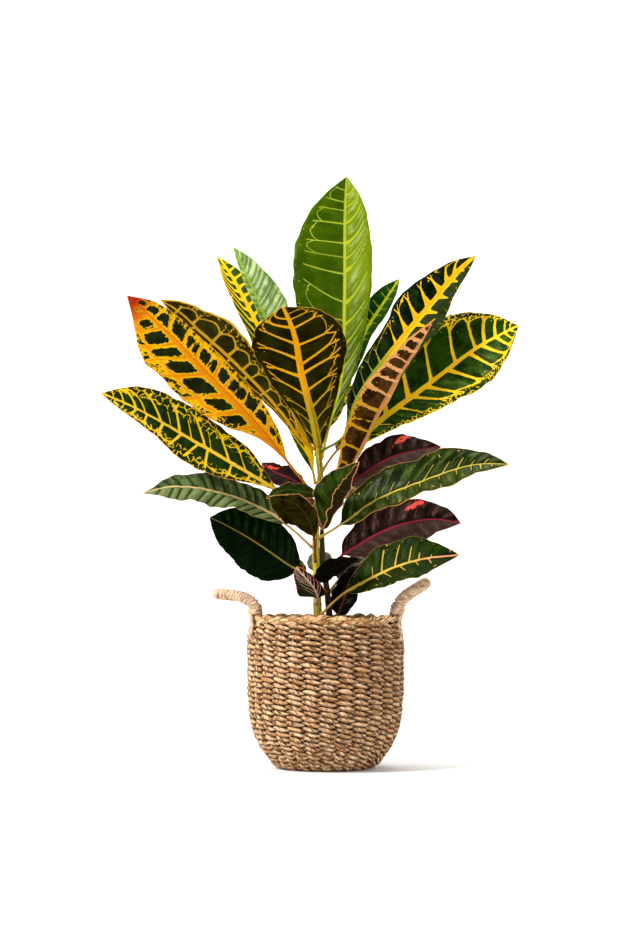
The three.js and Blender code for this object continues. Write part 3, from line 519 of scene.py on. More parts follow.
def vein_phase(share, out, veins, length, half_width, bow):
    """Phase, millimetres between veins, thickness and reach at points of one half.

    Vein k runs at base + (near edge - base) * (out / 0.8)^bow. The phase is k there and grows
    evenly to k + 1 at the next vein. The distance is taken square to the veins.
    """
    first = veins[0] * [1, 1, 0, 0] - [0.06, 0.06, 0, 0]
    last = veins[-1] * [1, 1, 0, 0] + [0.06, 0.06, 0, 0]
    veins = np.vstack([first, veins, last])
    run = (out / 0.8) ** bow
    lines = veins[:, 0, None, None] + (veins[:, 1] - veins[:, 0])[:, None, None] * run[None]
    index = np.clip((lines <= share[None]).sum(axis=0) - 1, 0, len(veins) - 2)
    low = np.take_along_axis(lines, index[None], axis=0)[0]
    high = np.take_along_axis(lines, index[None] + 1, axis=0)[0]
    part = (share - low) / np.maximum(high - low, 1e-4)
    slope = (veins[index, 1] - veins[index, 0]) * length / (0.8 * np.maximum(half_width, 2))
    gap = (high - low) * length / np.sqrt(1 + slope ** 2)
    part_clip = np.clip(part, 0, 1)
    thick = veins[index, 2] * (1 - part_clip) + veins[index + 1, 2] * part_clip
    reach = veins[index, 3] * (1 - part_clip) + veins[index + 1, 3] * part_clip
    return index + part_clip, gap, thick, reach


print("vein phase ready")

# %% [markdown]
# The blade is a grid: one way runs from the stem to the tip, the other from edge to edge. Each
# half tilts up by the fold, sags towards its edge with the square of the share across, and its
# edge rises and falls in waves. Between its side veins the blade swells like a quilt. The upper
# and lower skins lie 0.8 mm apart, and the midrib stands out below and leaves a groove above.

# %% Leaf surface
ALONG = 100
ACROSS = 29
PETIOLE = 10
STALK_RADIUS = 1.5
TIP_WIDTH = 0.5
HALF_THICK = 0.4
KEEL = 1.5
GROOVE = 0.45


def name_number(name):
    """A whole number made from a name, so that each leaf gets noise of its own."""
    return sum(ord(letter) for letter in name)


def leaf_line(row):
    """Centre line of a leaf from its foot beside the stem to its tip, with its knots."""
    stem, height, bearing, blade = row[1:5]
    line = np.array(STEM_TWO if stem == 2 else STEM_ONE, dtype=float)
    middle = np.array([np.interp(height, line[:, 2], line[:, c]) for c in (0, 1, 3)])
    angle = math.radians(bearing)
    out = np.array([math.cos(angle), math.sin(angle), 0.0])
    start = np.array([middle[0], middle[1], height])
    aim = unit(np.array(blade[0], dtype=float) - start - 5 * out)
    lean = math.sqrt(max(1 - aim.dot(out) ** 2, 0))
    foot = start + out * (middle[2] + 0.3 + 1.05 * lean)
    points = np.vstack([foot, np.array(blade, dtype=float)])
    return points, chord_knots(points)


def leaf_grid(row, look):
    """Upper and lower grids of points, and for each point three vectors for the shader.

    Sideways a point lies at a * w * cos(fold), and upwards at
    w * (m * sin(fold) - m^2 / 10) + wave * m^2 * sin(2 pi (3.2 s + start)) * sin(pi s),
    where a is the signed share across, m its size, w the half width and s the share along.
    The vectors are place (millimetres across from the drawn midrib, along, half width),
    veins (phase, gap, thickness) and face (share along, side, reach).
    """
    left, right, face0, face1, fold, wave = row[5:]
    points, knots = leaf_line(row)
    start = knots[1]
    stalk = np.linspace(0, start, PETIOLE + 1)[:-1]
    share = np.linspace(0, 1, ALONG) ** 0.97
    where = np.concatenate([stalk, start + (1 - start) * share])
    s = np.clip((where - start) / (1 - start), 0, 1)
    centre = smooth_curve(knots, points, where)
    ahead = smooth_curve(knots, points, np.minimum(where + 0.004, 1))
    behind = smooth_curve(knots, points, np.maximum(where - 0.004, 0))
    tangent = unit(ahead - behind)
    face = unit(np.outer(1 - s, face0) + np.outer(s, face1))
    up = unit(face - tangent * (face * tangent).sum(axis=1, keepdims=True))
    side = np.cross(tangent, up)
    length = lengths_along(points)[-1]
    along = (where - start) * length
    blade_length = length * (1 - start)

    t = np.linspace(-1, 1, ACROSS)
    a = (np.sign(t) * np.abs(t) ** 1.35)[None, :]
    m = np.abs(a)
    half_left = smooth_curve(WIDTH_AT, (STALK_RADIUS, *left, TIP_WIDTH), s)[:, None]
    half_right = smooth_curve(WIDTH_AT, (STALK_RADIUS, *right, TIP_WIDTH), s)[:, None]
    seed = name_number(row[0]) % 17
    notch = (1 + 0.012 * np.sin(41 * s + seed) + 0.010 * np.sin(83 * s + 2.3 * seed))[:, None]
    width = np.where(a < 0, half_left, half_right) * (1 + (notch - 1) * m ** 4)
    tilt = math.radians(fold)
    start_wave = np.where(a < 0, 0.1, 0.55)
    ripple = wave * m ** 2 * np.sin(2 * np.pi * (3.2 * s[:, None] + start_wave))
    fine = 0.32 * wave * m ** 5 * np.sin(2 * np.pi * (9.5 * s[:, None] + start_wave * 3) + seed)
    body = np.sin(np.pi * s)[:, None]

    shift = np.interp(s, (0, 0.25, 0.5, 0.75, 0.9, 1), look["shift"])[:, None]
    room = np.where(a > shift, 1 - shift, 1 + shift)
    drawn = (a - shift) / room
    out_share = np.abs(drawn)
    drawn_width = width * room
    share_grid = np.broadcast_to(s[:, None], drawn.shape)
    values = []
    for key, wide in (("left", half_left), ("right", half_right)):
        rows = side_veins(look, key, wide.max(), blade_length, seed)
        values.append(vein_phase(share_grid, out_share, rows, blade_length, drawn_width,
                                 look["bow"]))
    phase, gap, thick, reach = [np.where(drawn < 0, one, two) for one, two in zip(*values)]
    quilt = np.cos(2 * np.pi * phase) * look["quilt"] * 4 * m * (1 - m) * np.minimum(body * 2, 1)
    high = width * (m * math.sin(tilt) - 0.10 * m ** 2) + (ripple + fine) * body - quilt
    wide = a * width * math.cos(tilt)

    open_share = np.clip(s / 0.06, 0, 1)[:, None]
    open_share = open_share * open_share * (3 - 2 * open_share)
    radius = STALK_RADIUS + 0.9 * np.exp(-where * length / 3.0)[:, None]
    turn = np.radians(172 - 164 * (t + 1) / 2)[None, :]
    from_rib = out_share * drawn_width
    keel = KEEL * (1 - 0.75 * s)[:, None] * np.exp(-(from_rib / 1.5) ** 2)
    groove = GROOVE * (1 - 0.6 * s)[:, None] * np.exp(-(from_rib / 0.9) ** 2)
    thin = HALF_THICK - 0.12 * m ** 6
    grids = []
    for level in (1, -1):
        flat = high + thin - groove if level == 1 else high - thin - keel
        x = (1 - open_share) * radius * np.cos(turn) + open_share * wide
        y = (1 - open_share) * radius * np.sin(turn) * level + open_share * flat
        grids.append(centre[:, None, :] + side[:, None, :] * x[..., None]
                     + up[:, None, :] * y[..., None])
    along_grid = np.broadcast_to(along[:, None], drawn.shape)
    place = np.stack([drawn * drawn_width, along_grid, drawn_width], axis=-1)
    veins = np.stack([phase, gap, thick], axis=-1)
    return grids, place, veins, share_grid, reach


print("leaf surface ready")

# %% [markdown]
# The two skins share their rim: a strip of faces closes each edge of the blade and each end.

# %% Leaf solid
def leaf_piece(row, look, material):
    """The closed leaf: both skins, the strips along its two edges, and its two ends."""
    grids, place, veins, share, reach = leaf_grid(row, look)
    rings, across = share.shape
    count = rings * across
    points = np.concatenate([grids[0].reshape(-1, 3), grids[1].reshape(-1, 3)])
    top = strip_quads(rings, across, closed_around=False)
    bottom = top[:, ::-1] + count
    ring = np.arange(rings - 1) * across
    left = np.stack([ring, ring + across, ring + across + count, ring + count], axis=-1)
    last = ring + across - 1
    right = np.stack([last, last + count, last + across + count, last + across], axis=-1)
    side = np.arange(across - 1)
    foot = np.stack([side, side + count, side + count + 1, side + 1], axis=-1)
    end = (rings - 1) * across + side
    tip = np.stack([end, end + 1, end + count + 1, end + count], axis=-1)
    quads = np.concatenate([top, bottom, left, right, foot, tip])
    flags = np.concatenate([np.ones(count), -np.ones(count)])
    face = np.stack([np.tile(share.ravel(), 2), flags, np.tile(reach.ravel(), 2)], axis=-1)
    twice = {"leaf_place": np.tile(place.reshape(-1, 3), (2, 1)),
             "leaf_veins": np.tile(veins.reshape(-1, 3), (2, 1)), "leaf_face": face}
    name = "leaf_" + row[0]
    new_piece(name + "_blade", points, quads, material, name, twice)


print("leaf solid ready")

# %% [markdown]
# ## The leaves: markings
# A croton's blade is dark, and its veins are drawn on it in yellow and orange. A node group works
# with distances in millimetres: how far a point lies outside the midrib band, a side vein, the
# arch that joins it to the next, the net near the edge, the pale margin and the specks. Below,
# m is the share of the way from the midrib to the edge, and w is the half width.

# %% Values that all marks share
MARK_INPUTS = (
    "Midrib left", "Midrib right", "Taper", "Wedge", "Fork", "Top", "Loop", "Arch left",
    "Arch right", "Broken", "Split", "Ragged", "Fingers", "Round", "Net", "Net size", "Net from",
    "Specks", "Margin", "Blotch", "Blotch at", "Blotch out", "Wander", "Seed",
)
HIDE = 40.0


def mark_values(g, given):
    """The leaf's values at a point, with two noises and the millimetres to the nearest vein:
    apart = |phase - nearest whole number| * gap. Rightward is 0 on the left half and 1 on the
    right one."""
    v = SimpleNamespace()
    v.x, v.along, v.half = g.split(given["Place"])
    v.phase, v.gap, v.thick = g.split(given["Veins"])
    v.share, _, v.reach = g.split(given["Face"])
    v.size = g.size(v.x)
    v.m = g.over(v.size, g.larger(v.half, 1.0))
    v.flat = g.vector(v.x, v.along, g.times(given["Seed"], 7.0))
    v.slow = g.minus(g.noise(v.flat, 0.17, 2.0), 0.5)
    v.quick = g.minus(g.noise(v.flat, 0.62, 2.0), 0.5)
    v.rightward = g.ramp(v.x, -0.5, 0.5)
    v.beside = g.size(g.minus(v.phase, g.math("ROUND", v.phase)))
    v.apart = g.times(v.beside, v.gap)
    return v


def by_half(g, v, left, right):
    """The left value on the left half of the leaf and the right value on the other half."""
    return g.times_plus(left, g.minus(1.0, v.rightward), g.times(right, v.rightward))


def border_shift(g, given, v):
    """Millimetres by which noise moves a mark's border: ragged * soft * (4.2 * slow +
    3.4 * quick), where soft grows with the vein's thickness, and fingers along the veins."""
    ripple = g.times_plus(v.slow, 4.2, g.times(v.quick, 3.4))
    soft = g.times_plus(g.smaller(v.thick, 2.4), 0.30, 0.28)
    ripple = g.times(g.times(ripple, given["Ragged"]), soft)
    drawn_out = g.vector(g.times(v.x, 0.13), g.times(v.phase, 7.0), given["Seed"])
    fingers = g.minus(g.noise(drawn_out, 1.0, 3.0, 0.6), 0.5)
    return g.times_plus(fingers, given["Fingers"], ripple)


print("inputs of a leaf's marks:", len(MARK_INPUTS))

# %% [markdown]
# The midrib is a band that narrows towards the tip. A side vein tapers outwards, is wedged where
# it leaves the midrib, and may split in two past the fork.

# %% Midrib and side veins
def midrib_distance(g, given, v):
    """|across| - band * (1 - 0.62 * share^2), where across = x + wander * noise along the leaf
    and the band has a width of its own on each half. Returns the distance and across."""
    band = by_half(g, v, given["Midrib left"], given["Midrib right"])
    narrow = g.times_plus(g.times(v.share, v.share), -0.62, 1.0)
    sway = g.noise(g.vector(g.times(v.along, 0.11), given["Seed"], 0.0), 1.0, 1.0)
    across = g.times_plus(g.minus(sway, 0.5), given["Wander"], v.x)
    return g.times_plus(g.times(band, narrow), -1.0, g.size(across)), across


def vein_distances(g, given, v):
    """Distances outside a side vein and outside its two branches.

    Vein: apart - thickness, with thickness = thick * (1 - taper * m + wedge * (1 - m)^4), and
    (m - reach) * w is added past its reach. Branches:
    |apart - split * (m - fork) * w| - 0.7 * thickness, hidden before the fork.
    """
    fade = g.times_plus(g.times(given["Taper"], v.m), -1.0, 1.0)
    near = g.math("POWER", g.larger(g.minus(1.0, v.m), 0.0), 4.0)
    fade = g.times_plus(given["Wedge"], near, fade)
    thickness = g.times(v.thick, g.larger(fade, 0.12))
    past = g.times(g.larger(g.minus(v.m, v.reach), 0.0), v.half)
    vein = g.plus(g.minus(v.apart, thickness), past)
    splits = g.math("GREATER_THAN", given["Split"], 0.01)
    after = g.times(g.larger(g.minus(v.m, given["Fork"]), 0.0), v.half)
    vein = g.times_plus(after, splits, vein)
    branch = g.size(g.minus(v.apart, g.times(after, given["Split"])))
    branch = g.times_plus(thickness, -0.7, branch)
    tail = g.larger(g.minus(v.m, g.plus(v.reach, 0.06)), 0.0)
    branch = g.times_plus(tail, v.half, branch)
    early = g.larger(g.minus(given["Fork"], v.m), 0.0)
    branch = g.times_plus(early, 1.5 * HIDE, branch)
    return vein, g.times_plus(g.minus(1.0, splits), HIDE, branch)


print("midrib and side veins ready")

# %% [markdown]
# Arches join a vein to the next near the edge, and some are left out by lot. Outside them lies a
# net of small cells, and single specks are strewn over the blade, more of them near the edge.

# %% Arches, net and specks
def arch_distance(g, given, v):
    """|m - level| * w / sqrt(1 + slope^2) - thickness.

    The level is fork + (top - fork) * (1 - (1 - f)^2), and the slope is how steeply it climbs.
    f runs from one vein to the next, or only half way and back again where loop is 1.
    """
    forward = g.math("FRACT", v.phase)
    both = g.times(v.beside, 2.0)
    run = g.times_plus(g.minus(both, forward), given["Loop"], forward)
    left = g.minus(1.0, run)
    cap = g.minus(1.0, g.times(left, left))
    rise = g.minus(given["Top"], given["Fork"])
    level = g.times_plus(v.slow, 0.10, g.times_plus(rise, cap, given["Fork"]))
    climb = g.times(g.times(rise, left), g.over(v.half, v.gap))
    climb = g.times(climb, g.times_plus(given["Loop"], 2.0, 2.0))
    stretch = g.math("SQRT", g.times_plus(climb, climb, 1.0))
    arch = g.over(g.times(g.size(g.minus(v.m, level)), v.half), stretch)
    wide = by_half(g, v, given["Arch left"], given["Arch right"])
    arch = g.minus(arch, g.times(v.thick, wide))
    short = g.larger(g.minus(g.plus(given["Fork"], 0.05), v.reach), 0.0)
    arch = g.times_plus(short, 90.0, arch)
    lot = g.node("ShaderNodeTexWhiteNoise", noise_dimensions="1D")
    number = g.times_plus(v.rightward, 50.0, g.math("FLOOR", v.phase))
    g.put(lot.inputs["W"], g.plus(g.math("ROUND", number), given["Seed"]))
    gone = g.below(lot.outputs["Value"], given["Broken"])
    return g.times_plus(g.larger(gone, g.below(wide, 0.02)), HIDE, arch)


def net_distance(g, given, v):
    """Distance to the walls of small cells. The walls are thickest where the slow noise is low,
    and before the share net from they draw back by 0.6 * w * (from - m)."""
    scale = g.over(1.0, given["Net size"])
    warped = g.vector(g.times(g.times_plus(v.quick, 1.2, v.x), scale),
                      g.times(g.times_plus(v.slow, 4.0, v.along), scale), 0.0)
    cells = g.cells(warped, 1.0, feature="DISTANCE_TO_EDGE", voronoi_dimensions="2D")
    walls = g.times(cells["Distance"], given["Net size"])
    before = g.larger(g.minus(given["Net from"], v.m), 0.0)
    walls = g.times_plus(before, g.times(v.half, 0.6), walls)
    limit = g.minus(given["Net"], 0.5)
    there = g.ramp(v.slow, g.plus(limit, 0.08), limit)
    return g.minus(walls, g.times_plus(there, 1.3, -0.75))


def speck_distance(g, given, v):
    """Distance outside the specks: a cell has one if its chance is below
    specks * (0.4 + 2.2 * m^3), and the speck is the larger the further below it is."""
    dots = g.cells(g.vector(v.x, g.times(v.along, 0.7), 0.0), 0.24, voronoi_dimensions="2D")
    often = g.times(given["Specks"], g.times_plus(g.math("POWER", v.m, 3.0), 2.2, 0.4))
    spot = g.times(g.minus(often, g.split(dots["Color"])[0]), 3.2)
    speck = g.minus(g.times(dots["Distance"], 4.2), g.smaller(spot, 0.75))
    return g.times_plus(g.below(given["Specks"], 0.005), HIDE, speck)


print("arches, net and specks ready")

# %% [markdown]
# The smallest of all these distances, rounded where two meet, is below zero inside the coloured
# marks. The noises shift that border, which makes it ragged, and the depth inside gives the core.

# %% Marking group
def blotches(g, given, v):
    """1 in a red blotch: a slanting ragged spot, filled to 3.8 mm from its border."""
    blade = g.over(v.along, g.larger(v.share, 0.01))
    behind = g.minus(v.along, g.times(blade, given["Blotch at"]))
    beyond = g.minus(v.x, g.times(v.half, given["Blotch out"]))
    beyond = g.times_plus(behind, 0.55, beyond)
    spot = g.node("ShaderNodeVectorMath", operation="LENGTH")
    g.put(spot.inputs[0], g.vector(g.times(behind, 0.40), beyond, 0.0))
    spot = g.minus(spot.outputs["Value"], given["Blotch"])
    spot = g.plus(spot, g.times_plus(v.slow, 9.0, g.times(v.quick, 6.0)))
    return g.ramp(g.minus(g.size(g.plus(spot, 1.9)), 1.9), 0.3, -0.3)


def crown_highlight(g, given, v):
    """1 where the swelling between two veins catches the light, broken up by noise."""
    cell = g.times(g.ramp(v.beside, 0.10, 0.42), g.ramp(v.m, 0.04, 0.30))
    cell = g.times(cell, g.ramp(v.m, 0.98, 0.70))
    glint = g.vector(g.times(v.x, 0.10), g.times(v.phase, 5.0), given["Seed"])
    return g.times(cell, g.ramp(g.noise(glint, 1.0, 3.0), 0.38, 0.66))


def marking_group():
    """The node group that draws the marks of a croton leaf.

    Outputs: Mark is 1 on a vein or speck and Core on a vein's middle; Edge is the leaf's border,
    Spine the midrib's line, Blotches the red splashes and Mesh the finest threads; Patch is a
    soft cloud, Crease the groove beside each vein, where painted shade goes, Crown the swelling
    between two veins, where a painted highlight goes, and Height the relief; Across counts
    millimetres from the midrib, positive on the right half.
    """
    tree = bpy.data.node_groups.new("leaf_marks", "ShaderNodeTree")
    for name in ("Place", "Veins", "Face"):
        tree.interface.new_socket(name, in_out="INPUT", socket_type="NodeSocketVector")
    for name in MARK_INPUTS:
        tree.interface.new_socket(name, in_out="INPUT", socket_type="NodeSocketFloat")
    g = Shader(tree)
    given = g.node("NodeGroupInput").outputs
    v = mark_values(g, given)
    rest = g.minus(v.half, v.size)
    inside, across = midrib_distance(g, given, v)
    for other in (*vein_distances(g, given, v), arch_distance(g, given, v),
                  net_distance(g, given, v), g.minus(rest, given["Margin"])):
        inside = g.math("SMOOTH_MIN", inside, other, given["Round"])
    inside = g.smaller(g.plus(inside, border_shift(g, given, v)), speck_distance(g, given, v))
    fine = g.cells(g.vector(g.times_plus(v.quick, 1.5, v.x), v.along, 0.0), 0.42,
                   feature="DISTANCE_TO_EDGE", voronoi_dimensions="2D")
    threads = g.ramp(fine["Distance"], 0.16, 0.02)
    sideline = g.times(g.ramp(v.apart, 0.6, 0.1), g.ramp(v.m, 0.55, 0.35))
    leather = g.noise(v.flat, 1.7, 3.0)
    relief = g.times_plus(leather, 0.30, g.times(g.ramp(v.apart, 1.3, 0.0), -0.45))
    relief = g.times_plus(threads, -0.12, relief)
    relief = g.times_plus(g.ramp(inside, 0.6, -1.2), 0.25, relief)
    results = {
        "Mark": g.ramp(inside, 0.30, -0.30),
        "Core": g.ramp(inside, -0.7, -2.6),
        "Edge": g.ramp(rest, 0.75, 0.25),
        "Spine": g.larger(g.ramp(v.size, 0.75, 0.15), g.times(sideline, 0.5)),
        "Blotches": blotches(g, given, v),
        "Mesh": threads,
        "Patch": g.noise(v.flat, 0.055, 3.0, 0.6),
        "Crease shade": g.ramp(v.apart, 2.6, 0.4),
        "Crown highlight": crown_highlight(g, given, v),
        "Height": relief,
        "Across": across,
    }
    for name in results:
        tree.interface.new_socket(name, in_out="OUTPUT", socket_type="NodeSocketFloat")
    last = g.node("NodeGroupOutput").inputs
    for name, value in results.items():
        g.put(last[name], value)
    return tree


leaf_marks = marking_group()
print("marking group nodes:", len(leaf_marks.nodes))

# %% [markdown]
# ## The leaves: colours
# Every leaf names the sizes of its marks and its colours. The side that the plant shows to the
# front has a dark and a lighter blade colour in patches, and marks that go from a core colour in
# the middle of a vein to a rim colour at its border. The other side has duller colours. What a
# leaf doesn't name, it takes from the base look. A pale half and a crown are written as (side,
# colour, amount), with side 1 for the right half, -1 for the left and 0 for both; a tip colour is
# (share where it starts, share where it is full, colour). The pale half is partly the leaf's own
# tone and partly painted sheen, and on some leaves its base is left in painted shade. The crown
# colour is a painted highlight, and the crease amount lays painted shade beside the veins.

# %% Leaf looks
BASE_LOOK = dict(
    midrib=(1.5, 1.5), taper=0.55, wedge=0.4, fork=0.62, top=0.86, loop=0.0, arch=(0.0, 0.0),
    broken=0.3, split=0.0, fingers=0.0, crease_shade=0.0, spine=None, crown_highlight=None, pale_from=0.0,
    base_shade_range=None, bow=1.15, ragged=0.25, round=1.2, net=0.3, net_size=5.0, net_from=0.7,
    specks=0.1, margin=0.15, blotch=-9.0, blotch_at=0.7, blotch_out=-0.7, spacing=16.0, lean=0.55,
    lateral=0.5, reach=0.7, quilt=0.5, shift=(0, 0, 0, 0, 0, 0), rough=0.36, coat=0.01,
    dark="122408", light="2a4410", core="e0b040", rim="d8b83a", edge="7a5a24", blot="e04a34",
    tip=None, pale=None, seen=1.0, gloss=0.022, other_skin="3c4420", other_ink="a8943c", wander=0.0)
MAROON = dict(lateral=-0.7, other_skin="3a1c20", other_ink="9a3440")
